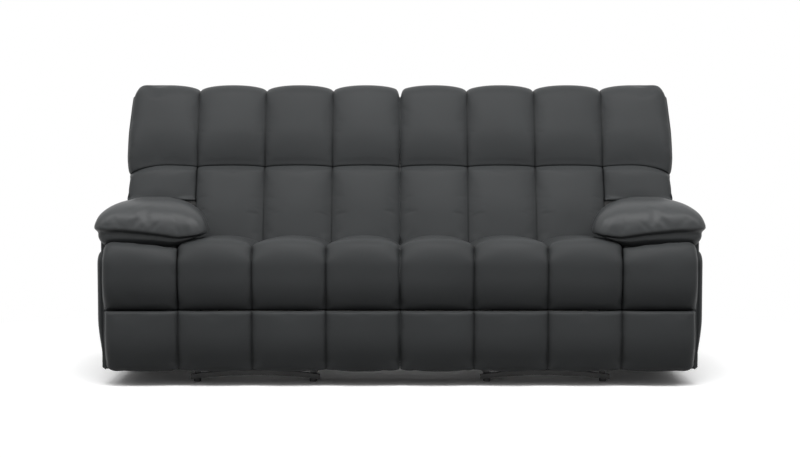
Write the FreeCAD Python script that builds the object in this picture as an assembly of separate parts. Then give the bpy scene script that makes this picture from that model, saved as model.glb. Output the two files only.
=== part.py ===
"""Reclining sofa with two seats, built as the real one is: frames, links and soft covers.

Millimetres, +Z up, front towards -Y. The origin is on the floor, at the middle of the sofa's
length and below its seats. One seat is modelled, on the +X side, and its mirror image makes
the other. Each seat rides on two pairs of swing links and moves forward as its back tilts.
Its footrest hangs on a double parallelogram of four pairs of links.
"""
import FreeCAD, Part
import math
import os

V = FreeCAD.Vector

# Tufting: one seat has four columns, and the last one lies in front of the arm
COLUMN_PITCH = 258.5
MIDDLE_GAP = 6.0
TUFT_DEPTH = 20.0
TUFT_SHOULDER = 42.0
SHOULDER_DRAW = 0.3
SOFT_GAP = 0.4
UNIT_X = 2 * COLUMN_PITCH

# Seat cushion and its roll
SEAT_FRONT_Y = -468.0
ROLL_BOTTOM_Z = 270.0
SEAT_TOP_Z = 521.0
WING_ROLL_TOP_Z = 508.0
SEAT_CROWN = 8.0
ROLL_BOARD_Y = -411.0
ROLL_BOARD = 12.0
ROLL_END_INSET = 6.0
ROLL_BULGE_RISE = 115.0
ROLL_FRONT_RISE = 186.0
ROLL_END_STEP = 22.0
ROLL_BOARD_LIFT = 14.0
SEAT_CROWN_SETBACK = 250.0
CUSHION_TO_BACK = 3.0

# Wooden seat frame
SEAT_FRAME_BOTTOM_Z = 340.0
SEAT_FRAME_HEIGHT = 56.0
SEAT_RAIL = 22.0
SEAT_FRAME_REAR_Y = -34.0
SEAT_FRAME_END_INSET = 10.0
SPRING_WIRE = 4.0
SPRING_BENDS = 14
SPRING_COUNT = 6
SPRING_HALF_WIDTH = 22.0

# Footrest
FOOTREST_BOTTOM_Z = 57.0
FOOTREST_TOP_Z = 266.0
FOOTREST_BOARD = 15.0
FOOTREST_BOARD_MARGIN = 8.0
FOOTREST_END_INSET = 13.0

# Back: s runs up along its face and t runs rearward through it, from the origin below
BACK_TILT = 20.0
BACK_FACE_Y = 36.0
BACK_FACE_Z = 500.0
BACK_SEAM_S = 284.0
BACK_TOP_S = 630.0
BACK_PAD = 122.0
BACK_FRAME_DEPTH = 106.0
BACK_SHELL = 20.0
BACK_FRAME_TOP_S = 582.0
BACK_RAIL = 24.0
BACK_FOOT_Y = 0.0
BACK_FOOT_Z = 386.0
BACK_SKIRT_Z = 342.0
WING_S = 150.0
ROW_NOTCH = 8.0
HEAD_BULGE_S = 150.0
HEAD_ROUND_S = 78.0
BRACKET_SETBACK = 8.0
BRACKET_WIDTH = 40.0

# Back hinge, on the seat's side plates
HINGE_Y = 82.0
HINGE_Z = 360.0

# Arms
ARM_CLEARANCE = 4.5
ARM_OUTER_X = 1050.0
ARM_FRONT_Y = -397.0
ARM_BOTTOM_Z = 57.0
ARM_TOP_Z = 520.0
ARM_TOP_REAR_Y = 127.0
ARM_SHOULDER_Y = 182.0
ARM_SHOULDER_Z = 490.0
ARM_NECK_Y = 247.0
ARM_NECK_Z = 305.0
ARM_REAR_Y = 454.0
ARM_REAR_Z = 290.0
ARM_COVER = 8.0
ARM_BOARD = 22.0
ARM_BOARD_HEIGHT = 40.0
SIDE_PAD = 20.0
PAD_INNER_X = 686.0
PAD_OUTER_X = 1066.0
PAD_FRONT_Y = -433.0
PAD_REAR_Y = 95.0
PAD_HANG_Z = 533.0
PAD_TUCK_START_Y = -45.0
PAD_TUCK_END_Y = 35.0
PAD_TUCK_STEPS = 5
PAD_REAR_HANG = 3.0
PAD_TOP_Z = 660.0
PAD_WELT_OUTER_Z = 552.0
PAD_WELT_INNER_Z = 546.0
PAD_FRONT_DRAW = 26.0
PAD_FRONT_ROUND = 40.0
PAD_REAR_DRAW = 20.0
PAD_REAR_ROUND = 50.0
PAD_END_STEPS = 4

# Rear valance between the arms
VALANCE_TOP_Z = 286.0
VALANCE_BOARD = 16.0
VALANCE_COVER = 6.0

# Steel bases under the seats
BASE_RAIL_OFFSET = 212.0
BASE_RAIL = 5.0
BASE_RAIL_BOTTOM_Z = 14.0
BASE_RAIL_TOP_Z = 60.0
BASE_REAR_Y = 392.0
BAR_FRONT_Y = -318.0
BAR_DEPTH = 20.0
BAR_HALF_LENGTH = 231.0
BAR_BOTTOM_Z = 8.5
BAR_HEIGHT = 17.5
BAR_ARCH = 15.0
FOOT_OFFSET = 207.0
FOOT_RADIUS = 13.0
BOLT_RADIUS = 5.0
BOLT_HEAD = 4.0
TAB_WIDTH = 16.0
TAB_TOP_Z = 54.0

# Square steel tubes that join the arms across both bases
CROSS_TUBE = 40.0
CROSS_WALL = 3.0
FRONT_CROSS_Y = -190.0
REAR_CROSS_Y = 272.0

# Linkage plates and studs
PLATE = 4.0
PLATE_OFFSET = 196.0
PLATE_BOTTOM_Z = 150.0
PLATE_ARM_TOP_Z = 208.0
PLATE_FRONT_Y = -364.0
STUD_RADIUS = 5.0
STUD_HEAD = 3.0
STUD_HEAD_RADIUS = 8.0
RUNNING_GAP = 0.08
SIDE_GAP = 0.3
LINK_HALF_WIDTH = 10.0
LINK_SPACE = 4.0

# Swing links, which carry the seat forward
SWING_LENGTH = 150.0
SWING_REST = 18.0
SWING_LOW_Z = 42.0
FRONT_SWING_Y = -95.0
REAR_SWING_Y = 222.0
SWING_LINK = 5.0
SWING_GAP = 3.0

# Footrest linkage, pivots at rest
TUBE_Y = -340.0
TUBE_Z = 288.0
TUBE_RADIUS = 9.0
SHORT_DY = 40.0
SHORT_DZ = -15.0
LONG_DY = 76.5
LONG_DZ = -194.5
REACH_DY = -114.5
REACH_DZ = 146.5
END_DY = -2.0
END_DZ = -38.0
BRACKET_FLANGE = 32.0

# Release handle in the outer side of each arm
HANDLE_Y = -158.0
HANDLE_Z = 400.0
HANDLE_LENGTH = 112.0
HANDLE_HEIGHT = 66.0
HANDLE_RIM = 10.0
HANDLE_RIM_PROUD = 3.0
HANDLE_DEPTH = 34.0
HANDLE_WALL = 3.0
PADDLE = 9.0
PADDLE_MARGIN = 5.0
PADDLE_RECESS = 15.0
PADDLE_FINGER_SPACE = 34.0

# Lines that several pieces share
COLUMN_EDGES = [MIDDLE_GAP / 2] + [COLUMN_PITCH * i for i in (1, 2, 3)]
ARM_INNER_X = COLUMN_EDGES[3] + ARM_CLEARANCE
OUTER_EDGE_X = 4 * COLUMN_PITCH
SEAT_FRAME_TOP_Z = SEAT_FRAME_BOTTOM_Z + SEAT_FRAME_HEIGHT
CUSHION_BOTTOM_Z = SEAT_FRAME_TOP_Z + SPRING_WIRE + SOFT_GAP
BOARD_REAR_Y = ROLL_BOARD_Y + ROLL_BOARD
BACK_REAR_T = BACK_PAD + BACK_FRAME_DEPTH + BACK_SHELL
PIVOT_A = (TUBE_Y + SHORT_DY, TUBE_Z + SHORT_DZ)
PIVOT_B = (TUBE_Y, TUBE_Z)
PIVOT_D = (TUBE_Y + LONG_DY, TUBE_Z + LONG_DZ)
PIVOT_C = (PIVOT_D[0] + SHORT_DY, PIVOT_D[1] + SHORT_DZ)
PIVOT_E = (PIVOT_D[0] + REACH_DY, PIVOT_D[1] + REACH_DZ)
PIVOT_F = (PIVOT_D[0] + END_DY, PIVOT_D[1] + END_DZ)
PIVOT_G = (PIVOT_E[0] + END_DY, PIVOT_E[1] + END_DZ)
FOOTREST_REAR_Y = PIVOT_E[0] - LINK_HALF_WIDTH - 2 * LINK_SPACE - 2.0
SWING_DY = SWING_LENGTH * math.sin(math.radians(SWING_REST))
SWING_DZ = SWING_LENGTH * math.cos(math.radians(SWING_REST))


def closed_wire(place, start, *steps):
    """A closed wire. A step is a point for a line, or a pair of points for an arc."""
    edges = []
    here = place(*start)
    for step in steps:
        if isinstance(step[0], tuple):
            middle, end = (place(*p) for p in step)
            edges.append(Part.Arc(here, middle, end).toShape())
        else:
            end = place(*step)
            edges.append(Part.makeLine(here, end))
        here = end
    if here.distanceToPoint(place(*start)) > 1e-6:
        edges.append(Part.makeLine(here, place(*start)))
    return Part.Wire(edges)


def at_x(x):
    """Places a (y, z) point in the plane at x."""
    return lambda y, z: V(x, y, z)


def at_y(y):
    """Places an (x, z) point in the plane at y."""
    return lambda x, z: V(x, y, z)


def plate(x0, x1, *outline):
    """A flat plate from x0 to x1 with a (y, z) outline."""
    face = Part.Face(closed_wire(at_x(x0), *outline))
    return face.extrude(V(x1 - x0, 0, 0))


def box(x0, x1, y0, y1, z0, z1):
    """A box between two corners."""
    return Part.makeBox(x1 - x0, y1 - y0, z1 - z0, V(x0, y0, z0))


def rod(x0, x1, pivot, radius):
    """A cylinder along X through a (y, z) pivot."""
    low = min(x0, x1)
    return Part.makeCylinder(radius, abs(x1 - x0), V(low, *pivot), V(1, 0, 0))


def fused(shapes):
    """One solid out of several that touch."""
    joined = shapes[0].fuse(shapes[1:]) if len(shapes) > 1 else shapes[0]
    return joined.removeSplitter()


def mirrored(shape, x=0.0):
    """The mirror image of a shape in the plane at x."""
    return shape.mirror(V(x, 0, 0), V(1, 0, 0))


def both_sides_of_unit(shape):
    """A piece of one mechanism side and its twin on the other side of the same seat."""
    return Part.makeCompound([shape, mirrored(shape, UNIT_X)])


def both_ends(shape):
    """A piece of the right half of the sofa and its twin in the left half."""
    return Part.makeCompound([shape, mirrored(shape)])


def tufted(edges, section):
    """Columns lofted along X, each drawn in where it is sewn to the next one."""
    columns = []
    for x0, x1 in zip(edges, edges[1:]):
        stations = [
            (x0, 1.0),
            (x0 + TUFT_SHOULDER, SHOULDER_DRAW),
            ((x0 + x1) / 2, 0.0),
            (x1 - TUFT_SHOULDER, SHOULDER_DRAW),
            (x1, 1.0),
        ]
        wires = [section(x, TUFT_DEPTH * draw) for x, draw in stations]
        columns.append(Part.makeLoft(wires, True, False))
    return columns


def one_solid(shapes):
    """One solid out of lofts that share whole or part faces."""
    joined = shapes[0].fuse(shapes[1:])
    return joined.Solids[0] if len(joined.Solids) == 1 else joined


def back_point(s, t):
    """The (y, z) of a point on the tilted back."""
    tilt = math.radians(BACK_TILT)
    y = BACK_FACE_Y + s * math.sin(tilt) + t * math.cos(tilt)
    z = BACK_FACE_Z + s * math.cos(tilt) - t * math.sin(tilt)
    return y, z


def back_s_at(z, t):
    """How far up the back's face a height z lies, at a depth t."""
    tilt = math.radians(BACK_TILT)
    return (z - BACK_FACE_Z + t * math.sin(tilt)) / math.cos(tilt)


def face_y_at(z):
    """The y of the back's front face at a height."""
    return BACK_FACE_Y + (z - BACK_FACE_Z) * math.tan(math.radians(BACK_TILT))


# Seat


def roll_front(draw):
    """The front of the seat roll, from its lower edge to below its top."""
    front = SEAT_FRONT_Y + draw
    bottom = ROLL_BOTTOM_Z + 0.4 * draw
    return [
        (ROLL_BOARD_Y - SOFT_GAP, bottom + 6),
        (front + 34, bottom),
        ((front + 13, bottom + 12), (front + 4, bottom + 40)),
        ((front, bottom + ROLL_BULGE_RISE), (front + 4, bottom + ROLL_FRONT_RISE)),
    ]


def seat_section(x, draw):
    """The seat cushion between the arms, cut at x."""
    top = SEAT_TOP_Z - draw
    front = SEAT_FRONT_Y + draw
    rear_top = SEAT_TOP_Z - SEAT_CROWN - 0.5 * draw
    rear_y = face_y_at(rear_top) - CUSHION_TO_BACK
    return closed_wire(
        at_x(x),
        *roll_front(draw),
        ((front + 17, top - 25), (front + 52, top - SEAT_CROWN)),
        ((front + SEAT_CROWN_SETBACK, top), (rear_y - 16, rear_top)),
        ((rear_y - 6, rear_top - 4), (face_y_at(rear_top - 14) - CUSHION_TO_BACK, rear_top - 14)),
        (face_y_at(CUSHION_BOTTOM_Z) - CUSHION_TO_BACK, CUSHION_BOTTOM_Z),
        (ROLL_BOARD_Y - SOFT_GAP, CUSHION_BOTTOM_Z),
    )


def roll_end_section(x, draw):
    """The roll in front of the arm, cut at x, padded over the top of its board."""
    top = WING_ROLL_TOP_Z - 0.8 * draw
    front = SEAT_FRONT_Y + draw
    return closed_wire(
        at_x(x),
        *roll_front(draw),
        ((front + 10, top - 14), (front + 34, top - 1)),
        ((front + 46, top), (BOARD_REAR_Y, top - 5)),
        (BOARD_REAR_Y, WING_ROLL_TOP_Z - ROLL_END_STEP),
        (ROLL_BOARD_Y - SOFT_GAP, WING_ROLL_TOP_Z - ROLL_END_STEP),
    )


def seat_cushion():
    """The seat's tufted cushion, T-shaped in plan, with its roll at the front."""
    roll_end_x = OUTER_EDGE_X - ROLL_END_INSET
    middle = tufted(COLUMN_EDGES, seat_section)
    end = tufted([COLUMN_EDGES[3], roll_end_x], roll_end_section)
    return one_solid(middle + end)


def seat_roll_board():
    """The board behind the roll, taller in front of the arm."""
    x0 = COLUMN_EDGES[0] + SEAT_FRAME_END_INSET
    x1 = OUTER_EDGE_X - ROLL_END_INSET - SEAT_FRAME_END_INSET
    bottom = ROLL_BOTTOM_Z + ROLL_BOARD_LIFT
    low = box(x0, x1, ROLL_BOARD_Y, BOARD_REAR_Y, bottom, SEAT_FRAME_TOP_Z)
    tall_x = COLUMN_EDGES[3] + SEAT_FRAME_END_INSET
    top = WING_ROLL_TOP_Z - ROLL_END_STEP - SOFT_GAP
    tall = box(tall_x, x1, ROLL_BOARD_Y, BOARD_REAR_Y, bottom, top)
    return fused([low, tall])


def seat_frame():
    """A wooden frame of two cross rails, two end rails and two rails over the mechanism."""
    x0 = COLUMN_EDGES[0] + SEAT_FRAME_END_INSET
    x1 = COLUMN_EDGES[3] - SEAT_FRAME_END_INSET
    z0, z1 = SEAT_FRAME_BOTTOM_Z, SEAT_FRAME_TOP_Z
    y0, y1 = BOARD_REAR_Y, SEAT_FRAME_REAR_Y
    rails = [
        box(x0, x1, y0, y0 + SEAT_RAIL, z0, z1),
        box(x0, x1, y1 - SEAT_RAIL, y1, z0, z1),
        box(x0, x0 + SEAT_RAIL, y0, y1, z0, z1),
        box(x1 - SEAT_RAIL, x1, y0, y1, z0, z1),
    ]
    for side in (-1, 1):
        middle = UNIT_X + side * (PLATE_OFFSET + PLATE / 2)
        rails.append(box(middle - SEAT_RAIL / 2, middle + SEAT_RAIL / 2, y0, y1, z0, z1))
    return fused(rails)


def sinuous_spring(x):
    """A zigzag wire spring that lies on the seat frame's front and rear rails."""
    y0 = BOARD_REAR_Y + 4
    y1 = SEAT_FRAME_REAR_Y - 4
    z = SEAT_FRAME_TOP_Z + SPRING_WIRE / 2
    step = (y1 - y0) / SPRING_BENDS
    bend = step / 2
    run = SPRING_HALF_WIDTH - bend
    edges = [Part.makeLine(V(x, y0, z), V(x + run, y0, z))]
    side = 1
    for i in range(SPRING_BENDS):
        y = y0 + i * step
        near = x + side * run
        edges.append(
            Part.Arc(V(near, y, z), V(near + side * bend, y + bend, z), V(near, y + step, z)).toShape()
        )
        far = x - side * run if i < SPRING_BENDS - 1 else x
        edges.append(Part.makeLine(V(near, y + step, z), V(far, y + step, z)))
        side = -side
    profile = Part.Wire([Part.makeCircle(SPRING_WIRE / 2, V(x, y0, z), V(1, 0, 0))])
    return Part.Wire(edges).makePipeShell([profile], True, True)


def seat_springs():
    """The row of springs under the seat cushion."""
    x0 = COLUMN_EDGES[0] + SEAT_FRAME_END_INSET + SEAT_RAIL
    x1 = COLUMN_EDGES[3] - SEAT_FRAME_END_INSET - SEAT_RAIL
    pitch = (x1 - x0) / SPRING_COUNT
    return Part.makeCompound([sinuous_spring(x0 + (i + 0.5) * pitch) for i in range(SPRING_COUNT)])


# Linkage


def capsule(x0, x1, p, q, half_width):
    """A straight link with round ends, between two (y, z) pivots."""
    length = math.dist(p, q)
    uy, uz = (q[0] - p[0]) / length * half_width, (q[1] - p[1]) / length * half_width
    return plate(
        x0,
        x1,
        (p[0] - uz, p[1] + uy),
        ((p[0] - uy, p[1] - uz), (p[0] + uz, p[1] - uy)),
        (q[0] + uz, q[1] - uy),
        ((q[0] + uy, q[1] + uz), (q[0] - uz, q[1] + uy)),
    )


def drilled(shape, x0, x1, pivots, radius):
    """A shape with holes along X at its pivots."""
    reach = 1.0
    for pivot in pivots:
        shape = shape.cut(rod(x0 - reach, x1 + reach, pivot, radius))
    return shape


def stud(root_x, far_x, pivot, link_near_x, link_far_x):
    """A headed stud along X: a shoulder up to the link, the pin through it and a head."""
    way = 1 if far_x > root_x else -1
    shoulder_end = link_near_x - way * SIDE_GAP
    head_start = link_far_x + way * SIDE_GAP
    return [
        rod(root_x, shoulder_end, pivot, STUD_HEAD_RADIUS),
        rod(root_x, head_start, pivot, STUD_RADIUS),
        rod(head_start, far_x, pivot, STUD_HEAD_RADIUS),
    ]


PLATE_IN = UNIT_X + PLATE_OFFSET
PLATE_OUT = PLATE_IN + PLATE
SWING_NEAR = PLATE_OUT + SWING_GAP
SWING_FAR = SWING_NEAR + SWING_LINK
ALPHA_OUT = PLATE_IN - LINK_SPACE
ALPHA_IN = ALPHA_OUT - PLATE
BETA_OUT = ALPHA_IN - 2.0
BETA_IN = BETA_OUT - PLATE
BORE = STUD_RADIUS + RUNNING_GAP
FRONT_SWING_TOP = (FRONT_SWING_Y + SWING_DY, SWING_LOW_Z + SWING_DZ)
REAR_SWING_TOP = (REAR_SWING_Y + SWING_DY, SWING_LOW_Z + SWING_DZ)


def inner_stud(pivot):
    """A stud on an outer link that carries a link of the inner layer."""
    return stud(ALPHA_IN, BETA_IN - SIDE_GAP - STUD_HEAD, pivot, BETA_OUT, BETA_IN)


def seat_side_plates():
    """The steel side plates that carry the seat, with the studs that its links turn on."""
    ear = STUD_HEAD_RADIUS + 6
    rear_y = REAR_SWING_TOP[0] + 15
    body = plate(
        PLATE_IN,
        PLATE_OUT,
        (PLATE_FRONT_Y, SEAT_FRAME_BOTTOM_Z),
        (PLATE_FRONT_Y, TUBE_Z - 20),
        (PIVOT_A[0] + 20, TUBE_Z - 45),
        (FRONT_SWING_TOP[0] - 60, PLATE_BOTTOM_Z + 10),
        (FRONT_SWING_TOP[0] - 30, PLATE_BOTTOM_Z),
        (rear_y, REAR_SWING_TOP[1] - 16),
        (rear_y, PLATE_ARM_TOP_Z),
        (HINGE_Y + 50, PLATE_ARM_TOP_Z + 16),
        (HINGE_Y + ear, HINGE_Z),
        ((HINGE_Y, HINGE_Z + ear), (HINGE_Y - ear, HINGE_Z)),
        (SEAT_FRAME_REAR_Y + 4, SEAT_FRAME_BOTTOM_Z - 20),
        (SEAT_FRAME_REAR_Y, SEAT_FRAME_BOTTOM_Z),
    )
    body = drilled(body, PLATE_IN, PLATE_OUT, [PIVOT_B], TUBE_RADIUS + RUNNING_GAP)
    studs = []
    for pivot in (FRONT_SWING_TOP, REAR_SWING_TOP, (HINGE_Y, HINGE_Z)):
        studs += stud(PLATE_OUT, SWING_FAR + SIDE_GAP + STUD_HEAD, pivot, SWING_NEAR, SWING_FAR)
    studs += stud(PLATE_IN, ALPHA_IN - SIDE_GAP - STUD_HEAD, PIVOT_A, ALPHA_OUT, ALPHA_IN)
    return both_sides_of_unit(fused([body] + studs))


def swing_links(low_y):
    """A pair of links from the base to the seat's side plates."""
    low = (low_y, SWING_LOW_Z)
    top = (low_y + SWING_DY, SWING_LOW_Z + SWING_DZ)
    link = capsule(SWING_NEAR, SWING_FAR, low, top, LINK_HALF_WIDTH + 1)
    return both_sides_of_unit(drilled(link, SWING_NEAR, SWING_FAR, [low, top], BORE))


def drive_tube():
    """The tube that turns both long links together, through the side plates."""
    reach = PLATE_OUT + 2
    length = 2 * (reach - UNIT_X)
    start = V(2 * UNIT_X - reach, *PIVOT_B)
    outer = Part.makeCylinder(TUBE_RADIUS, length, start, V(1, 0, 0))
    bore = Part.makeCylinder(TUBE_RADIUS - 2, length, start, V(1, 0, 0))
    return outer.cut(bore)


def long_links():
    """The long pair: from the drive tube to the cross link, and on to the end link."""
    upper = capsule(ALPHA_IN, ALPHA_OUT, PIVOT_B, PIVOT_D, LINK_HALF_WIDTH)
    lower = capsule(ALPHA_IN, ALPHA_OUT, PIVOT_D, PIVOT_F, LINK_HALF_WIDTH)
    collar = rod(ALPHA_IN, ALPHA_OUT, PIVOT_B, TUBE_RADIUS + 5)
    link = fused([upper, lower, collar] + inner_stud(PIVOT_D) + inner_stud(PIVOT_F))
    return both_sides_of_unit(drilled(link, ALPHA_IN, ALPHA_OUT, [PIVOT_B], TUBE_RADIUS))


def short_links():
    """The short pair: from the side plate to the cross link's tail."""
    body = capsule(ALPHA_IN, ALPHA_OUT, PIVOT_A, PIVOT_C, LINK_HALF_WIDTH)
    link = fused([body] + inner_stud(PIVOT_C))
    return both_sides_of_unit(drilled(link, ALPHA_IN, ALPHA_OUT, [PIVOT_A], BORE))


def cross_links():
    """Bent plates that stay level as they carry the footrest out."""
    tail = capsule(BETA_IN, BETA_OUT, PIVOT_C, PIVOT_D, LINK_HALF_WIDTH)
    arm = capsule(BETA_IN, BETA_OUT, PIVOT_D, PIVOT_E, LINK_HALF_WIDTH)
    holes = [PIVOT_C, PIVOT_D, PIVOT_E]
    return both_sides_of_unit(drilled(fused([tail, arm]), BETA_IN, BETA_OUT, holes, BORE))


def end_links():
    """The pair that turns the footrest as the long links rise."""
    link = capsule(BETA_IN, BETA_OUT, PIVOT_F, PIVOT_G, LINK_HALF_WIDTH)
    return both_sides_of_unit(drilled(link, BETA_IN, BETA_OUT, [PIVOT_F, PIVOT_G], BORE))


def footrest_brackets():
    """Angle brackets on the footrest board, with studs for the two links."""
    low, high = PIVOT_G[1] - 16, PIVOT_E[1] + 16
    web = plate(
        ALPHA_IN,
        ALPHA_OUT,
        (FOOTREST_REAR_Y, low),
        (PIVOT_G[0] + 6, low),
        (PIVOT_E[0] + 12, low + 12),
        (PIVOT_E[0] + 12, high - 10),
        (PIVOT_E[0] + 2, high),
        (FOOTREST_REAR_Y, high),
    )
    flange = box(
        ALPHA_IN - BRACKET_FLANGE, ALPHA_OUT, FOOTREST_REAR_Y, FOOTREST_REAR_Y + PLATE, low, high
    )
    bracket = fused([web, flange] + inner_stud(PIVOT_E) + inner_stud(PIVOT_G))
    return both_sides_of_unit(bracket)


# Footrest


def footrest_section(x, draw):
    """The footrest's pad, cut at x."""
    front = SEAT_FRONT_Y + draw
    rear = FOOTREST_REAR_Y - FOOTREST_BOARD - SOFT_GAP
    bottom = FOOTREST_BOTTOM_Z + 0.5 * draw
    top = FOOTREST_TOP_Z - 0.2 * draw
    middle = (bottom + top) / 2
    return closed_wire(
        at_x(x),
        (rear, bottom + 8),
        (front + 30, bottom),
        ((front + 11, bottom + 11), (front + 3, bottom + 38)),
        ((front, middle), (front + 3, top - 38)),
        ((front + 11, top - 11), (front + 30, top)),
        (rear, top - 6),
    )


def footrest_pad():
    """The footrest's tufted pad, which continues the roll's columns downwards."""
    edges = COLUMN_EDGES + [OUTER_EDGE_X - FOOTREST_END_INSET]
    return one_solid(tufted(edges, footrest_section))


def footrest_board():
    """The board behind the footrest's pad."""
    margin = FOOTREST_BOARD_MARGIN
    x1 = OUTER_EDGE_X - FOOTREST_END_INSET - margin
    y0 = FOOTREST_REAR_Y - FOOTREST_BOARD
    z0, z1 = FOOTREST_BOTTOM_Z + margin, FOOTREST_TOP_Z - margin
    return box(COLUMN_EDGES[0] + margin, x1, y0, FOOTREST_REAR_Y, z0, z1)


# Back


def back_section_wire(x, draw, foot):
    """The back's cushion, cut at x, above a foot given as a list of (y, z) points."""
    deep = draw
    top = BACK_TOP_S - 0.8 * draw
    seam = BACK_SEAM_S
    rear_t = BACK_PAD - SOFT_GAP
    over_t = BACK_PAD + BACK_FRAME_DEPTH - 6
    bottom_s = back_s_at(foot[-1][1], 8 + deep)
    points = [
        back_point(bottom_s, 8 + deep),
        (back_point((bottom_s + seam) / 2, deep), back_point(seam - ROW_NOTCH, 14 + deep)),
        back_point(seam, TUFT_DEPTH + 4 + 0.5 * deep),
        back_point(seam + ROW_NOTCH, 14 + deep),
        (back_point(seam + HEAD_BULGE_S, deep), back_point(top - HEAD_ROUND_S, 6 + deep)),
        (back_point(top - 18, 34 + deep), back_point(top, 92)),
        (back_point(top - 12, 150), back_point(BACK_FRAME_TOP_S + 4, over_t)),
        back_point(BACK_FRAME_TOP_S + SOFT_GAP, over_t),
        back_point(BACK_FRAME_TOP_S + SOFT_GAP, rear_t),
    ]
    return closed_wire(at_x(x), *points, *foot)


def back_section(x, draw):
    """The back's cushion between the arms, which stands on a level foot over the hinge."""
    rear_t = BACK_PAD - SOFT_GAP
    rear_y = back_point(back_s_at(BACK_FOOT_Z, rear_t), rear_t)[0]
    foot = [(rear_y, BACK_FOOT_Z), (BACK_FOOT_Y, BACK_FOOT_Z), (BACK_FOOT_Y, BACK_FOOT_Z + 16)]
    return back_section_wire(x, draw, foot)


def wing_section(x, draw):
    """The back's wing above and behind the arm, cut at x."""
    foot = [back_point(WING_S, BACK_PAD - SOFT_GAP), back_point(WING_S, 26 + draw)]
    foot.append(back_point(WING_S + 8, 12 + draw))
    return back_section_wire(x, draw, foot)


def back_cushion():
    """The back's tufted cushion in two rows, with its wing over the arm."""
    middle = tufted(COLUMN_EDGES, back_section)
    wing = tufted([COLUMN_EDGES[3], OUTER_EDGE_X], wing_section)
    return one_solid(middle + wing)


def back_board(x0, x1, s0, s1, t0, t1):
    """A board of the back between two corners in the back's own directions."""
    corners = [back_point(s0, t0), back_point(s0, t1), back_point(s1, t1), back_point(s1, t0)]
    return plate(x0, x1, *corners)


def back_frame():
    """The wooden frame in the back: uprights, three rails and the wing's rails."""
    t0, t1 = BACK_PAD, BACK_PAD + BACK_FRAME_DEPTH
    x0 = COLUMN_EDGES[0] + BACK_SHELL / 2
    x1 = COLUMN_EDGES[3] - BACK_SHELL / 2
    x2 = OUTER_EDGE_X - BACK_SHELL
    low = back_s_at(BACK_SKIRT_Z + 50, t0)
    behind_bracket = t0 + BRACKET_SETBACK + BRACKET_WIDTH + SIDE_GAP
    boards = [
        back_board(x0, x0 + BACK_RAIL, low, BACK_FRAME_TOP_S, t0, t1),
        back_board(x1 - BACK_RAIL, x1, low, BACK_FRAME_TOP_S, t0, t1),
        back_board(x0, x1, low, low + 2 * BACK_RAIL, behind_bracket, t1),
        back_board(x0, x2, WING_S + 10, WING_S + 10 + 2 * BACK_RAIL, behind_bracket, t1),
        back_board(x0, x2, BACK_FRAME_TOP_S - 2 * BACK_RAIL, BACK_FRAME_TOP_S, t0, t1),
        back_board(x2 - BACK_RAIL, x2, WING_S + 10, BACK_FRAME_TOP_S, t0, t1),
    ]
    for side in (-1, 1):
        inner = UNIT_X + side * (PLATE_OFFSET + PLATE + SWING_GAP)
        outer = inner - side * BACK_RAIL
        x_low, x_high = min(inner, outer), max(inner, outer)
        boards.append(back_board(x_low, x_high, low, BACK_FRAME_TOP_S, t0, t1))
    return fused(boards)


def back_brackets():
    """Steel brackets that hold the back's frame and turn on the hinge studs."""
    t0 = BACK_PAD + BRACKET_SETBACK
    t1 = t0 + BRACKET_WIDTH
    eye = STUD_HEAD_RADIUS + 6
    low_s = back_s_at(HINGE_Z, t0)
    outline = [
        (HINGE_Y - eye, HINGE_Z),
        ((HINGE_Y, HINGE_Z - eye), (HINGE_Y + eye, HINGE_Z - 4)),
        back_point(low_s + 40, t1),
        back_point(WING_S + 60, t1),
        back_point(WING_S + 60, t0),
        back_point(low_s + 24, t0),
        (HINGE_Y + 4, HINGE_Z + eye - 2),
    ]
    bracket = drilled(
        plate(SWING_NEAR, SWING_FAR, *outline), SWING_NEAR, SWING_FAR, [(HINGE_Y, HINGE_Z)], BORE
    )
    return both_sides_of_unit(bracket)


def back_shell():
    """The padded outer back, with side panels over the frame's ends."""
    t0 = BACK_PAD + BACK_FRAME_DEPTH
    t1 = BACK_REAR_T
    x0, x1, x2 = COLUMN_EDGES[0], COLUMN_EDGES[3], OUTER_EDGE_X
    thin = BACK_SHELL / 2
    skirt = back_s_at(BACK_SKIRT_Z, t1)
    top = BACK_FRAME_TOP_S + 12
    low = back_s_at(BACK_SKIRT_Z + 50, BACK_PAD)
    panels = [
        back_board(x0, x1, skirt, top, t0, t1),
        back_board(x1, x2, WING_S, top, t0, t1),
        back_board(x0, x0 + thin, low, BACK_FRAME_TOP_S, BACK_PAD, t0),
        back_board(x1 - thin, x1, low, WING_S, BACK_PAD, t0),
        back_board(x2 - BACK_SHELL, x2, WING_S, BACK_FRAME_TOP_S, BACK_PAD, t0),
        back_board(x1 - thin, x2, WING_S, WING_S + 10, BACK_PAD, t0),
    ]
    return fused(panels)


# Arms


def arm_outline(inset, bottom_inset):
    """The arm's side outline as (y, z) points, moved inwards by an inset."""
    i = inset
    return [
        (ARM_FRONT_Y + i, ARM_BOTTOM_Z + bottom_inset),
        (ARM_FRONT_Y + i, ARM_TOP_Z - i),
        (ARM_TOP_REAR_Y - 0.5 * i, ARM_TOP_Z - i),
        (ARM_SHOULDER_Y - i, ARM_SHOULDER_Z - i),
        (ARM_NECK_Y - i, ARM_NECK_Z - i),
        (ARM_REAR_Y - i, ARM_REAR_Z - i),
        (ARM_REAR_Y - i, ARM_BOTTOM_Z + bottom_inset),
    ]


def handle_block(x0, x1, grow):
    """A block through the arm's side where the release handle sits."""
    half_y, half_z = HANDLE_LENGTH / 2 + grow, HANDLE_HEIGHT / 2 + grow
    return box(x0, x1, HANDLE_Y - half_y, HANDLE_Y + half_y, HANDLE_Z - half_z, HANDLE_Z + half_z)


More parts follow.
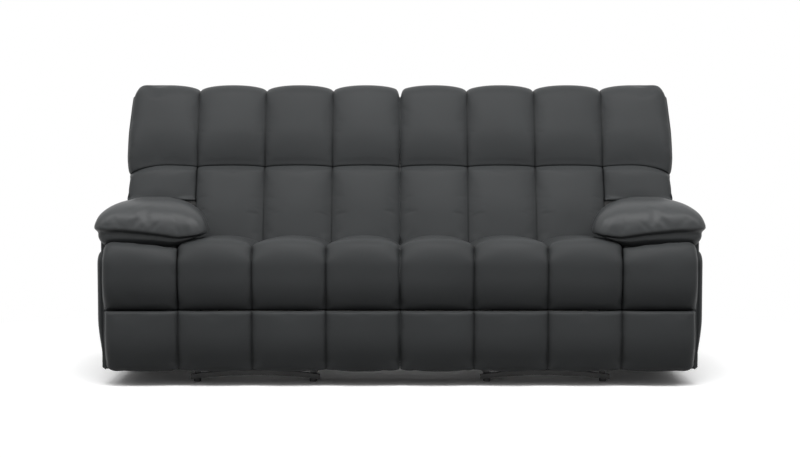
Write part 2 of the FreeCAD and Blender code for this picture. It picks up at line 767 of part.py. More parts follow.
def arm_cover():
    """The arm's upholstered box, open below, notched for the cross tubes and the handle."""
    outer = plate(ARM_INNER_X, ARM_OUTER_X, *arm_outline(0, 0))
    inner = plate(ARM_INNER_X + ARM_COVER, ARM_OUTER_X - ARM_COVER, *arm_outline(ARM_COVER, -10))
    cover = outer.cut(inner)
    for y in (FRONT_CROSS_Y, REAR_CROSS_Y):
        notch = box(
            ARM_INNER_X - 1,
            ARM_INNER_X + ARM_COVER + 1,
            y - SOFT_GAP,
            y + CROSS_TUBE + SOFT_GAP,
            ARM_BOTTOM_Z - 1,
            BASE_RAIL_TOP_Z + CROSS_TUBE + SOFT_GAP,
        )
        cover = cover.cut(notch)
    return cover.cut(handle_block(ARM_OUTER_X - ARM_COVER - 1, ARM_OUTER_X + 1, HANDLE_WALL))


def arm_side_pad():
    """The padded panel on the arm's outer side, thicker in its middle."""
    steps = [(0.0, 0.0), (0.45 * SIDE_PAD, 4.0), (0.85 * SIDE_PAD, 20.0), (SIDE_PAD, 60.0)]
    wires = []
    for out, inset in steps:
        x = ARM_OUTER_X + SOFT_GAP + out
        wires.append(closed_wire(at_x(x), *arm_outline(inset, inset)))
    pad = Part.makeLoft(wires, True, True)
    return pad.cut(handle_block(ARM_OUTER_X - 1, ARM_OUTER_X + SIDE_PAD + 10, HANDLE_WALL))


def arm_frame():
    """The wooden frame inside the arm, which stands on the cross tubes."""
    x0 = ARM_INNER_X + ARM_COVER
    x1 = ARM_OUTER_X - ARM_COVER
    y0 = ARM_FRONT_Y + ARM_COVER
    y1 = ARM_TOP_REAR_Y - ARM_COVER
    y2 = ARM_REAR_Y - ARM_COVER
    z0 = BASE_RAIL_TOP_Z + CROSS_TUBE
    z1 = ARM_TOP_Z - ARM_COVER
    tall, thick = ARM_BOARD_HEIGHT, ARM_BOARD
    boards = [
        box(x0, x1, y0, y0 + thick, z0, z1),
        box(x0, x1, y2 - thick, y2, z0, ARM_REAR_Z - ARM_COVER - 2),
    ]
    for x in (x0, x1 - thick):
        boards.append(box(x, x + thick, y0, y2, z0, z0 + tall))
        boards.append(box(x, x + thick, y0, y1, z1 - tall, z1))
        boards.append(box(x, x + thick, y1 - tall, y1, z0, z1))
    return fused(boards)


def pad_section(y, inset, hang):
    """The arm's pillow, cut at y: a crown over a welt, and a lip that hangs over the seat."""
    x0 = ARM_INNER_X - hang + inset
    x1 = PAD_OUTER_X - 0.6 * inset
    width = x1 - x0
    top = PAD_TOP_Z - 0.9 * inset
    low = ARM_TOP_Z + SOFT_GAP
    welt_out = PAD_WELT_OUTER_Z - 0.2 * inset
    return closed_wire(
        at_y(y),
        (ARM_INNER_X + inset, low),
        (ARM_INNER_X + inset - 0.1 * hang, PAD_HANG_Z),
        ((ARM_INNER_X + inset - 0.6 * hang, PAD_HANG_Z + 2), (x0, PAD_WELT_INNER_Z)),
        ((x0 + 0.06 * width, top - 54), (x0 + 0.22 * width, top - 17)),
        ((x0 + 0.48 * width, top), (x0 + 0.74 * width, top - 12)),
        ((x1 - 0.08 * width, top - 50), (x1, welt_out)),
        ((x1 - 10, low + 15), (x1 - 46, low)),
    )


def pad_end(i):
    """How far along and how far inset the i-th section of a rounded end is, from 0 to 1."""
    turn = math.radians(90 * i / PAD_END_STEPS)
    return 1 - math.cos(turn), 1 - math.sin(turn)


def arm_pad():
    """The pillow on top of the arm. Its lip over the seat ends where the back begins."""
    full = ARM_INNER_X - PAD_INNER_X
    sections = []
    for i in range(PAD_END_STEPS + 1):
        along, inset = pad_end(i)
        y = PAD_FRONT_Y + PAD_FRONT_ROUND * along
        sections.append(pad_section(y, PAD_FRONT_DRAW * inset, full))
    for i in range(PAD_TUCK_STEPS + 1):
        part = i / PAD_TUCK_STEPS
        eased = part * part * (3 - 2 * part)
        y = PAD_TUCK_START_Y + part * (PAD_TUCK_END_Y - PAD_TUCK_START_Y)
        sections.append(pad_section(y, 0, full + eased * (PAD_REAR_HANG - full)))
    for i in range(PAD_END_STEPS, -1, -1):
        along, inset = pad_end(i)
        y = PAD_REAR_Y - PAD_REAR_ROUND * along
        sections.append(pad_section(y, PAD_REAR_DRAW * inset, PAD_REAR_HANG))
    return Part.makeLoft(sections, True, True)


def release_bezel():
    """The cup in the arm's side that the release paddle sits in."""
    face = ARM_OUTER_X + SOFT_GAP + SIDE_PAD + HANDLE_RIM_PROUD
    floor = face - HANDLE_DEPTH
    grip = HANDLE_WALL - SOFT_GAP
    cup = handle_block(floor - HANDLE_WALL, face - HANDLE_RIM_PROUD, grip)
    rim = handle_block(face - HANDLE_RIM_PROUD, face, HANDLE_RIM)
    hollow = handle_block(floor, face + 1, 0)
    return fused([cup, rim]).cut(hollow)


def paddle_pivot():
    """The (x, y) of the upright pin that the paddle turns on."""
    face = ARM_OUTER_X + SOFT_GAP + SIDE_PAD + HANDLE_RIM_PROUD
    return face - PADDLE_RECESS, HANDLE_Y - HANDLE_LENGTH / 2 + PADDLE_MARGIN + PADDLE / 2


def release_paddle():
    """The paddle that is pulled outwards, with its pin in the bezel's walls."""
    x, y = paddle_pivot()
    z0 = HANDLE_Z - HANDLE_HEIGHT / 2 + SIDE_GAP
    z1 = HANDLE_Z + HANDLE_HEIGHT / 2 - SIDE_GAP
    low, high = z0 + PADDLE_MARGIN, z1 - PADDLE_MARGIN
    y1 = HANDLE_Y + HANDLE_LENGTH / 2 - PADDLE_FINGER_SPACE
    blade = box(x - PADDLE / 2, x + PADDLE / 2, y, y1, low, high)
    barrel = Part.makeCylinder(PADDLE / 2, high - low, V(x, y, low), V(0, 0, 1))
    tip = Part.makeCylinder(PADDLE / 2, high - low, V(x, y1, low), V(0, 0, 1))
    pin = Part.makeCylinder(PADDLE / 4, z1 - z0, V(x, y, z0), V(0, 0, 1))
    return fused([blade, barrel, tip, pin])


# Base and cross members


def base_side_rails():
    """The two flat bars of each base, with the studs that the swing links turn on."""
    x0 = UNIT_X + BASE_RAIL_OFFSET
    y0 = BAR_FRONT_Y + BAR_DEPTH
    rail = box(x0, x0 + BASE_RAIL, y0, BASE_REAR_Y, BASE_RAIL_BOTTOM_Z, BASE_RAIL_TOP_Z)
    studs = []
    for y in (FRONT_SWING_Y, REAR_SWING_Y):
        pivot = (y, SWING_LOW_Z)
        studs += stud(x0, SWING_NEAR - SIDE_GAP - STUD_HEAD, pivot, SWING_FAR, SWING_NEAR)
    return both_ends(both_sides_of_unit(fused([rail] + studs)))


def base_front_bars():
    """The arched front bar of each base, with upright tabs for its bolts."""
    x0, x1 = UNIT_X - BAR_HALF_LENGTH, UNIT_X + BAR_HALF_LENGTH
    z0, z1 = BAR_BOTTOM_Z, BAR_BOTTOM_Z + BAR_HEIGHT
    outline = closed_wire(
        at_y(BAR_FRONT_Y),
        (x0, z0),
        ((UNIT_X, z0 + BAR_ARCH), (x1, z0)),
        (x1, z1),
        ((UNIT_X, z1 + BAR_ARCH), (x0, z1)),
    )
    bar = Part.Face(outline).extrude(V(0, BAR_DEPTH, 0))
    pieces = [bar]
    for side in (-1, 1):
        x = UNIT_X + side * (BASE_RAIL_OFFSET - TAB_WIDTH / 2)
        y = BAR_FRONT_Y + BAR_DEPTH - PLATE
        pieces.append(
            box(x - TAB_WIDTH / 2, x + TAB_WIDTH / 2, y, y + PLATE, BASE_RAIL_BOTTOM_Z, TAB_TOP_Z)
        )
    return both_ends(fused(pieces))


def base_bolts():
    """The bolt heads on the front tabs."""
    y = BAR_FRONT_Y + BAR_DEPTH - PLATE
    z = TAB_TOP_Z - BOLT_RADIUS - 4
    x = UNIT_X + BASE_RAIL_OFFSET - TAB_WIDTH / 2
    corners = [V(x, y, z) + hexagon_corner(i) for i in range(7)]
    head = Part.Face(Part.makePolygon(corners)).extrude(V(0, -BOLT_HEAD, 0))
    return both_ends(both_sides_of_unit(head))


def hexagon_corner(i):
    """The i-th corner of a bolt head, from its middle."""
    turn = math.radians(60 * i + 15)
    return V(BOLT_RADIUS * math.cos(turn), 0, BOLT_RADIUS * math.sin(turn))


def base_rear_tubes():
    """The rear cross tube of each base, closed at its ends."""
    x0, x1 = UNIT_X - BAR_HALF_LENGTH, UNIT_X + BAR_HALF_LENGTH
    z0 = BAR_BOTTOM_Z
    tube = box(x0, x1, BASE_REAR_Y, BASE_REAR_Y + BAR_DEPTH, z0, z0 + BAR_HEIGHT + 6)
    return both_ends(tube)


def base_feet():
    """The round feet under the four corners of each base."""
    feet = []
    for y in (BAR_FRONT_Y + BAR_DEPTH / 2, BASE_REAR_Y + BAR_DEPTH / 2):
        x = UNIT_X + FOOT_OFFSET
        sole = Part.makeCylinder(FOOT_RADIUS, BAR_BOTTOM_Z, V(x, y, 0), V(0, 0, 1))
        lower_edge = [e for e in sole.Edges if e.CenterOfMass.z < 0.1]
        sole = sole.makeChamfer(1.5, lower_edge)
        rise = bar_rise_at(FOOT_OFFSET) if y < 0 else 0
        if rise > 0:
            sole = raised(sole, x, y, rise)
        feet += [sole, mirrored(sole, UNIT_X)]
    return both_ends(Part.makeCompound(feet))


def bar_rise_at(offset):
    """How far the front bar's underside has risen at an offset from its middle."""
    radius = (BAR_HALF_LENGTH**2 + BAR_ARCH**2) / (2 * BAR_ARCH)
    return BAR_ARCH - (radius - math.sqrt(radius**2 - offset**2))


def raised(sole, x, y, rise):
    """A foot whose stem goes up to the arched bar and is cut to its underside."""
    stem = Part.makeCylinder(FOOT_RADIUS, rise + 4, V(x, y, BAR_BOTTOM_Z), V(0, 0, 1))
    return fused([sole, stem]).cut(base_bar_block())


def base_bar_block():
    """The space of one arched bar and everything above it."""
    x0, x1 = UNIT_X - BAR_HALF_LENGTH, UNIT_X + BAR_HALF_LENGTH
    z0, z1 = BAR_BOTTOM_Z - SIDE_GAP / 2, BAR_BOTTOM_Z + 4 * BAR_HEIGHT
    outline = closed_wire(
        at_y(BAR_FRONT_Y - 10), (x0, z0), ((UNIT_X, z0 + BAR_ARCH), (x1, z0)), (x1, z1), (x0, z1)
    )
    return Part.Face(outline).extrude(V(0, BAR_DEPTH + 20, 0))


def cross_tubes():
    """The square tubes from arm to arm, which lie on both bases."""
    half = ARM_OUTER_X - ARM_COVER - SOFT_GAP
    z0, z1 = BASE_RAIL_TOP_Z, BASE_RAIL_TOP_Z + CROSS_TUBE
    tubes = []
    for y in (FRONT_CROSS_Y, REAR_CROSS_Y):
        outer = box(-half, half, y, y + CROSS_TUBE, z0, z1)
        wall = CROSS_WALL
        bore = box(-half, half, y + wall, y + CROSS_TUBE - wall, z0 + wall, z1 - wall)
        tubes.append(outer.cut(bore))
    return Part.makeCompound(tubes)


def valance_board():
    """The rear board between the arms, on struts from the rear cross tube."""
    half = ARM_INNER_X - SOFT_GAP
    y1 = ARM_REAR_Y - VALANCE_COVER
    y0 = y1 - VALANCE_BOARD
    board = box(-half, half, y0, y1, ARM_BOTTOM_Z + 6, VALANCE_TOP_Z - 6)
    struts = []
    for x in (-UNIT_X, 0, UNIT_X):
        z0 = BASE_RAIL_TOP_Z + 5
        struts.append(box(x - 20, x + 20, REAR_CROSS_Y + CROSS_TUBE, y0, z0, z0 + 30))
    return fused([board] + struts)


def valance_cover():
    """The upholstery of the rear board."""
    half = ARM_INNER_X - SOFT_GAP
    y0 = ARM_REAR_Y - VALANCE_COVER
    face = box(-half, half, y0, ARM_REAR_Y, ARM_BOTTOM_Z, VALANCE_TOP_Z)
    lip = box(
        -half, half, y0 - VALANCE_BOARD, y0, VALANCE_TOP_Z - 6, VALANCE_TOP_Z
    )
    return fused([face, lip])


# All pieces

SHARED = {
    "base_side_rails": base_side_rails,
    "base_front_bars": base_front_bars,
    "base_bolts": base_bolts,
    "base_rear_tubes": base_rear_tubes,
    "base_feet": base_feet,
    "cross_tubes": cross_tubes,
    "valance_board": valance_board,
    "valance_cover": valance_cover,
}

ONE_EACH_SIDE = {
    "arm_frame": arm_frame,
    "arm_cover": arm_cover,
    "arm_side_pad": arm_side_pad,
    "arm_pad": arm_pad,
    "release_bezel": release_bezel,
    "release_paddle": release_paddle,
    "seat_frame": seat_frame,
    "seat_roll_board": seat_roll_board,
    "seat_springs": seat_springs,
    "seat_cushion": seat_cushion,
    "seat_side_plates": seat_side_plates,
    "front_swing_links": lambda: swing_links(FRONT_SWING_Y),
    "rear_swing_links": lambda: swing_links(REAR_SWING_Y),
    "drive_tube": drive_tube,
    "long_links": long_links,
    "short_links": short_links,
    "cross_links": cross_links,
    "end_links": end_links,
    "footrest_brackets": footrest_brackets,
    "footrest_board": footrest_board,
    "footrest_pad": footrest_pad,
    "back_frame": back_frame,
    "back_brackets": back_brackets,
    "back_cushion": back_cushion,
    "back_shell": back_shell,
}


def main():
    """Build every piece and write one file for each."""
    os.makedirs("parts", exist_ok=True)
    for name, make in SHARED.items():
        make().exportStep(f"parts/{name}.step")
    for name, make in ONE_EACH_SIDE.items():
        right = make()
        right.exportStep(f"parts/{name}_right.step")
        mirrored(right).exportStep(f"parts/{name}_left.step")


main()
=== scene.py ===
"""Looks of the reclining sofa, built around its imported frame. Metres, +Z up, front towards -Y.

The right half is modelled and its mirror image makes the left half. Cushions are rings of
points swept along X, drawn in where their columns are sewn, then inflated as cloth.
"""
import math

import bmesh
import bpy
import numpy as np
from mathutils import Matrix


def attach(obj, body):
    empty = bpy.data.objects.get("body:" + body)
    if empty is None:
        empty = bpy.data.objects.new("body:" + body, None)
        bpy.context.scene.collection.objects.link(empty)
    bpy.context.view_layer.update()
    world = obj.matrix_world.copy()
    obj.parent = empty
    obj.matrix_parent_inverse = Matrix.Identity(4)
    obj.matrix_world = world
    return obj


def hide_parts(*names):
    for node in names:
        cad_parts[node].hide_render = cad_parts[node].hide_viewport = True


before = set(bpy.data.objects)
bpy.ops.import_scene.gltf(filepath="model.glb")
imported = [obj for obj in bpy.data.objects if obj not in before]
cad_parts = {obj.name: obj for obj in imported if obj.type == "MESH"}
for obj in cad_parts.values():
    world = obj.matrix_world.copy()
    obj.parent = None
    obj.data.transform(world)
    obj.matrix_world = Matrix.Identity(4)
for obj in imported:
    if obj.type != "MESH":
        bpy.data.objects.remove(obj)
scene = bpy.context.scene
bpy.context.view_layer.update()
MM = 0.001

# Camera, as fitted to the photograph
CAMERA_PLACE = (0.0, -6.318, 0.95)
CAMERA_PITCH = 3.85
CAMERA_FOCAL = 76.3
CAMERA_SENSOR = 36.0

# Columns of one unit, in millimetres from the sofa's middle
COLUMN_EDGES = [3.0, 258.5, 517.0, 775.5]
HALF_COLUMN = 127.0
SEAM_DEPTH = 28.0
# Half width of the painted shade along each column seam
SEAM_SHADE_WIDTH = 3.0
END_DEPTH = 26.0
END_REACH = 34.0
ROLL_OUTER = 1035.0
FOOTREST_OUTER = 1029.0
WING_OUTER = 1034.0
UNIT_CLEARANCE = 0.02

# The tilted back, as in the frame: s up along its face, t rearward through it
BACK_TILT = math.radians(20.0)
BACK_ORIGIN = (36.0, 500.0)

# Seat cushion and front roll: where their faces lie, and where the columns' draw sets in
ROLL_FRONT = -471.0
ROLL_REAR = -411.4
ROLL_BOTTOM = 269.0
ROLL_HELD_Z = 284.0
ROLL_DRAW_Y = -411.0
ROLL_DRAW_RUN = 42.0
CROWN_Z = 425.0
CROWN_RUN = 75.0
SEAT_FLOOR_Z = 400.8
SEAT_FLOOR_FRONT = -405.0
SEAT_REAR_Z = 494.0
SEAT_BACK_GAP = 3.0
END_DIP = 13.0
END_DIP_RUN = 230.0
END_DIP_Z = 420.0
END_DIP_RISE = 80.0

# Footrest pad
FOOTREST_REAR = -414.0
FOOTREST_TOP = 267.5
FOOTREST_BOTTOM = 50.0
FOOTREST_HELD = 8.0
FOOTREST_DRAW_RUN = 40.0
FOOTREST_LOW_Z = 110.0
FOOTREST_LOW_RUN = 60.0

# Back: its row seam, its top, its rear plane and the depth over which its columns are drawn in
HEAD_SEAM = 284.0
HEAD_TOP = 620.0
BACK_REAR_T = 121.6
BACK_HELD_T = 121.0
BACK_DRAW_T = 110.0
BACK_DRAW_RUN = 80.0
HEAD_HELD_S = 600.0
HEAD_ROUND = 75.0
HEAD_ROUND_RUN = 65.0
SEAM_LIP = 16.0
SEAM_DROP = 30.0
SEAM_DROP_X = 880.0
SEAM_DROP_POWER = 2.2
HEAD_DROP_RUN = 160.0
LUMBAR_DROP_S = 150.0
LUMBAR_DROP_RUN = 134.0
NOTCH_DEPTH = 38.0
NOTCH_REACH = 30.0
WING_ROUND_DEPTH = 30.0
WING_ROUND_REACH = 38.0
WING_FOOT = 139.0
WING_HELD = 9.0
WING_S = (150.0, 225.0, 262.0, 284.0, 300.0, 340.0, 450.0, 560.0, 600.0, 625.0)
WING_X = (1030.0, 1029.0, 1025.0, 1030.0, 1037.0, 1041.0, 1038.0, 1030.0, 1026.0, 1022.0)

# A vertex is held where the normal of its section points this far rearward or down
FACES_REAR = 0.3
FACES_DOWN = -0.7

# Closing rings at a swept form's ends: size, and share of the end's bulge
CAP_SHRINK = (0.985, 0.955, 0.8, 0.6, 0.35, 0.12)
CAP_OUT = (0.45, 1.0, 1.0, 1.0, 1.0, 1.0)

# Cloth
CLOTH_PRESSURE = 3.0
CLOTH_FRAMES = 14
CLOTH_STIFFNESS = 12.0
CLOTH_BENDING = 0.6
CUSHION_GROWTH = 0.006
PILLOW_GROWTH = 0.02


def back_point(s, t):
    """The (y, z) of a point of the tilted back, in millimetres."""
    y = BACK_ORIGIN[0] + s * math.sin(BACK_TILT) + t * math.cos(BACK_TILT)
    z = BACK_ORIGIN[1] + s * math.cos(BACK_TILT) - t * math.sin(BACK_TILT)
    return y, z


def eased(value):
    """A smooth step from 0 to 1."""
    value = np.clip(value, 0.0, 1.0)
    return value * value * (3 - 2 * value)


# Profiles

ARC_STEP_SHARE = 0.6


def corner_arc(before, here, after, radius):
    """A rounded corner as the arc's start, end, centre and turn."""
    way_in = (before - here) / np.linalg.norm(before - here)
    way_out = (after - here) / np.linalg.norm(after - here)
    half = 0.5 * math.acos(np.clip(way_in @ way_out, -1, 1))
    reach = radius / math.tan(half)
    middle = way_in + way_out
    centre = here + middle / np.linalg.norm(middle) * radius / math.sin(half)
    return here + way_in * reach, here + way_out * reach, centre, math.pi - 2 * half


def outline(corners, step=11.0):
    """A closed line of points round rounded corners (a, b, radius, step to the next)."""
    count = len(corners)
    places = [np.array(corner[:2], float) for corner in corners]
    arcs = []
    for i, corner in enumerate(corners):
        arcs.append(corner_arc(places[i - 1], places[i], places[(i + 1) % count], corner[2]))
    points = []
    for i, (start, end, centre, turn) in enumerate(arcs):
        radius = corners[i][2]
        pieces = max(3, int(round(radius * turn / (ARC_STEP_SHARE * step))))
        first = math.atan2(*(start - centre)[::-1])
        last = math.atan2(*(end - centre)[::-1])
        sweep = (last - first + math.pi) % (2 * math.pi) - math.pi
        for k in range(pieces + 1):
            angle = first + sweep * k / pieces
            points.append(centre + radius * np.array([math.cos(angle), math.sin(angle)]))
        run = arcs[(i + 1) % count][0] - end
        line_step = corners[i][3] if len(corners[i]) > 3 else step
        parts = max(1, int(round(np.linalg.norm(run) / line_step)))
        for k in range(1, parts):
            points.append(end + run * k / parts)
    return np.array(points)


def normals_of(points):
    """Outward normals of a closed line of points."""
    after = np.roll(points, -1, 0)
    along = after - np.roll(points, 1, 0)
    along /= np.linalg.norm(along, axis=1)[:, None]
    area = np.sum(points[:, 0] * after[:, 1] - points[:, 1] * after[:, 0])
    side = 1.0 if area > 0 else -1.0
    return side * np.column_stack([along[:, 1], -along[:, 0]])


def shoulder(distance, depth, reach):
    """How far a surface is drawn in at a distance from its seam: a quarter of an ellipse."""
    part = np.clip(1 - distance / reach, 0, 1)
    return depth * (1 - np.sqrt(1 - part * part))


def stations(x0, x1, count=19, even=0.22):
    """X places across one column, close together near its seams."""
    part = np.linspace(0, 1, count)
    bunched = 0.5 - 0.5 * np.cos(math.pi * part)
    return x0 + (x1 - x0) * (even * part + (1 - even) * bunched)


# Meshes


def new_object(name, verts, faces):
    """A smooth-shaded mesh object from vertices in metres."""
    mesh = bpy.data.meshes.new(name)
    mesh.from_pydata([tuple(v) for v in verts], [], [tuple(f) for f in faces])
    mesh.update()
    obj = bpy.data.objects.new(name, mesh)
    scene.collection.objects.link(obj)
    mesh.shade_smooth()
    return obj


def coordinates(obj):
    """The vertices of a mesh object as an array."""
    co = np.zeros(len(obj.data.vertices) * 3)
    obj.data.vertices.foreach_get("co", co)
    return co.reshape(-1, 3)


def place_vertices(obj, co):
    """Moves the vertices of a mesh object to an array's places."""
    obj.data.vertices.foreach_set("co", np.asarray(co, float).ravel())
    obj.data.update()


def vertex_normals(obj):
    """The vertex normals of a mesh object as an array."""
    out = np.zeros(len(obj.data.vertices) * 3)
    obj.data.vertex_normals.foreach_get("vector", out)
    return out.reshape(-1, 3)


class Body:
    """Vertices, faces and pinned vertices of one or more closed swept forms."""

    def __init__(self):
        self.verts, self.faces, self.pins = [], [], []

    def sweep(self, xs, ring_at, centre, cap_bulge, pinned=None, seams=(), place=None):
        """Adds rings along X, with a cap of shrinking rings towards a centre at each end."""
        place = place or (lambda x, y, z: (x, y, z))
        rings = [ring_at(x) for x in xs]
        count = len(rings[0])
        base = len(self.verts)
        start_rings = self.cap_rings(rings[0], centre(xs[0]), xs[0], -1, cap_bulge[0])
        end_rings = self.cap_rings(rings[-1], centre(xs[-1]), xs[-1], 1, cap_bulge[1])
        stack = start_rings[::-1] + list(zip(xs, rings)) + end_rings
        for x, ring in stack:
            for y, z in ring:
                self.verts.append(place(x, y, z))
        for i in range(len(stack) - 1):
            for j in range(count):
                a = base + i * count + j
                b = base + i * count + (j + 1) % count
                self.faces.append((a, b, b + count, a + count))
        self.close(base, count, True)
        self.close(base + (len(stack) - 1) * count, count, False)
        first = len(start_rings)
        cap_indices = list(range(first)) + list(range(first + len(xs), len(stack)))
        for i in cap_indices:
            self.pins += [base + i * count + j for j in range(count)]
        for i, x in enumerate(xs):
            row = base + (first + i) * count
            if any(math.isclose(x, seam, abs_tol=0.01) for seam in seams):
                self.pins += [row + j for j in range(count)]
            elif pinned is not None:
                self.pins += [row + j for j in np.nonzero(pinned)[0]]

    def close(self, start, count, turned):
        """Fills the innermost ring of a cap with a ladder of faces."""
        for k in range(count // 2):
            a, b = k, k + 1
            c, d = (count - k - 1) % count, (count - k) % count
            face = [a, b] + [v for v in (c, d) if v not in (a, b)]
            if len(face) > 2:
                face = [start + v for v in face]
                self.faces.append(face[::-1] if turned else face)

    @staticmethod
    def cap_rings(ring, centre, x, way, bulge):
        """Rings that close one end, from the outside in."""
        centre = np.array(centre, float)
        made = []
        for shrink, out in zip(CAP_SHRINK, CAP_OUT):
            made.append((x + way * bulge * out, centre + (ring - centre) * shrink))
        return made

    def object(self, name):
        """The form as an object, with its pinned vertices in a vertex group."""
        obj = new_object(name, np.array(self.verts) * MM, self.faces)
        mesh = bmesh.new()
        mesh.from_mesh(obj.data)
        bmesh.ops.recalc_face_normals(mesh, faces=mesh.faces)
        mesh.to_mesh(obj.data)
        mesh.free()
        group = obj.vertex_groups.new(name="pin")
        group.add(sorted(set(int(p) for p in self.pins)), 1.0, "REPLACE")
        return obj


# Changes to finished meshes


def inflate(obj, cap, growth):
    """Inflates a form as cloth round its pinned seams, and applies it up to a cap in metres."""
    cloth = obj.modifiers.new("Cloth", "CLOTH")
    settings = cloth.settings
    settings.quality = 5
    settings.mass = 0.3
    settings.tension_stiffness = CLOTH_STIFFNESS
    settings.compression_stiffness = CLOTH_STIFFNESS
    settings.shear_stiffness = 0.5 * CLOTH_STIFFNESS
    settings.bending_stiffness = CLOTH_BENDING
    settings.air_damping = 2.0
    settings.vertex_group_mass = "pin"
    settings.pin_stiffness = 1.0
    settings.use_pressure = True
    settings.uniform_pressure_force = CLOTH_PRESSURE
    settings.shrink_min = -growth
    settings.effector_weights.gravity = 0.0
    cloth.collision_settings.use_collision = False
    cloth.point_cache.frame_start = 1
    cloth.point_cache.frame_end = CLOTH_FRAMES
    start = coordinates(obj)
    for number in range(1, CLOTH_FRAMES + 1):
        scene.frame_set(number)
    graph = bpy.context.evaluated_depsgraph_get()
    solved = obj.evaluated_get(graph)
    mesh = solved.to_mesh()
    end = np.zeros(len(mesh.vertices) * 3)
    mesh.vertices.foreach_get("co", end)
    solved.to_mesh_clear()
    obj.modifiers.remove(cloth)
    scene.frame_set(1)
    move = end.reshape(-1, 3) - start
    size = np.linalg.norm(move, axis=1)[:, None]
    size = np.maximum(size, 1e-9)
    place_vertices(obj, start + move / size * cap * np.tanh(size / cap))


def keep_apart(obj):
    """Keeps a unit on its own side of the plane between the two."""
    co = coordinates(obj)
    co[:, 0] = np.maximum(co[:, 0], UNIT_CLEARANCE * MM)
    place_vertices(obj, co)


def replace_mesh(obj):
    """Gives an object the mesh that its one modifier makes, and takes the modifier off."""
    graph = bpy.context.evaluated_depsgraph_get()
    mesh = bpy.data.meshes.new_from_object(obj.evaluated_get(graph))
    obj.modifiers.clear()
    old = obj.data
    obj.data = mesh
    bpy.data.meshes.remove(old)
    obj.data.shade_smooth()


def subdivide(obj):
    """Applies one level of subdivision surface."""
    modifier = obj.modifiers.new("Subdivision", "SUBSURF")
    modifier.levels = 1
    modifier.render_levels = 1
    replace_mesh(obj)


def cut_hole(obj):
    """Cuts the release cup's place out of the side pad."""
    y, z, half_y, half_z = HANDLE
    centre = np.array([HOLE_X, y, z]) * MM
    size = np.array([HOLE_DEPTH, 2 * (half_y + HOLE_MARGIN), 2 * (half_z + HOLE_MARGIN)]) * MM
    mesh = bpy.data.meshes.new("cutter")
    cutter = bpy.data.objects.new("cutter", mesh)
    scene.collection.objects.link(cutter)
    made = bmesh.new()
    bmesh.ops.create_cube(made, size=1.0)
    for vert in made.verts:
        vert.co = centre + np.array(vert.co) * size
    made.to_mesh(mesh)
    made.free()
    modifier = obj.modifiers.new("Boolean", "BOOLEAN")
    modifier.operation = "DIFFERENCE"
    modifier.solver = "EXACT"
    modifier.object = cutter
    replace_mesh(obj)
    bpy.data.objects.remove(cutter)


def crease(co, normals, lines):
    """Presses folds into a surface. A line is (start, end, half width, depth) in metres."""
    for start, end, width, depth in lines:
        start = np.array(start)
        along = np.array(end) - start
        part = np.clip(((co - start) @ along) / (along @ along), 0, 1)
        gap = np.linalg.norm(co - (start + part[:, None] * along), axis=1) / width
        taper = np.sin(np.pi * (FOLD_END + (1 - 2 * FOLD_END) * part))
        dip = np.exp(-(gap ** 2)) - FOLD_RIM * np.exp(-((gap - FOLD_RIM_PLACE) ** 2))
        co = co - normals * (depth * taper * dip)[:, None]
    return co


def set_attribute(obj, name, values):
    """Stores a number for each vertex, which the leather's material reads."""
    attribute = obj.data.attributes.new(name, "FLOAT", "POINT")
    attribute.data.foreach_set("value", np.asarray(values, np.float32))


def mirrored(obj, name):
    """The mirror image of a finished piece, in the plane between the two units."""
    mesh = obj.data.copy()
    twin = bpy.data.objects.new(name, mesh)
    scene.collection.objects.link(twin)
    co = coordinates(twin)
    co[:, 0] *= -1
    place_vertices(twin, co)
    mesh.flip_normals()
    mesh.update()
    return twin


# Materials


def node_material(name):
    """An empty node material and its shader."""
    material = bpy.data.materials.new(name)
    material.use_nodes = True
    nodes = material.node_tree.nodes
    return material, nodes, material.node_tree.links, nodes["Principled BSDF"]


def add_node(nodes, kind, **values):
    """A node with its properties and unlinked inputs set by name."""
    node = nodes.new(kind)
    for key, value in values.items():
        if hasattr(node, key):
            setattr(node, key, value)
        else:
            node.inputs[key.replace("_", " ")].default_value = value
    return node


def grey(value, tint=(1.0, 1.0, 1.0)):
    """A colour from a brightness and a tint."""
    return (value * tint[0], value * tint[1], value * tint[2], 1.0)


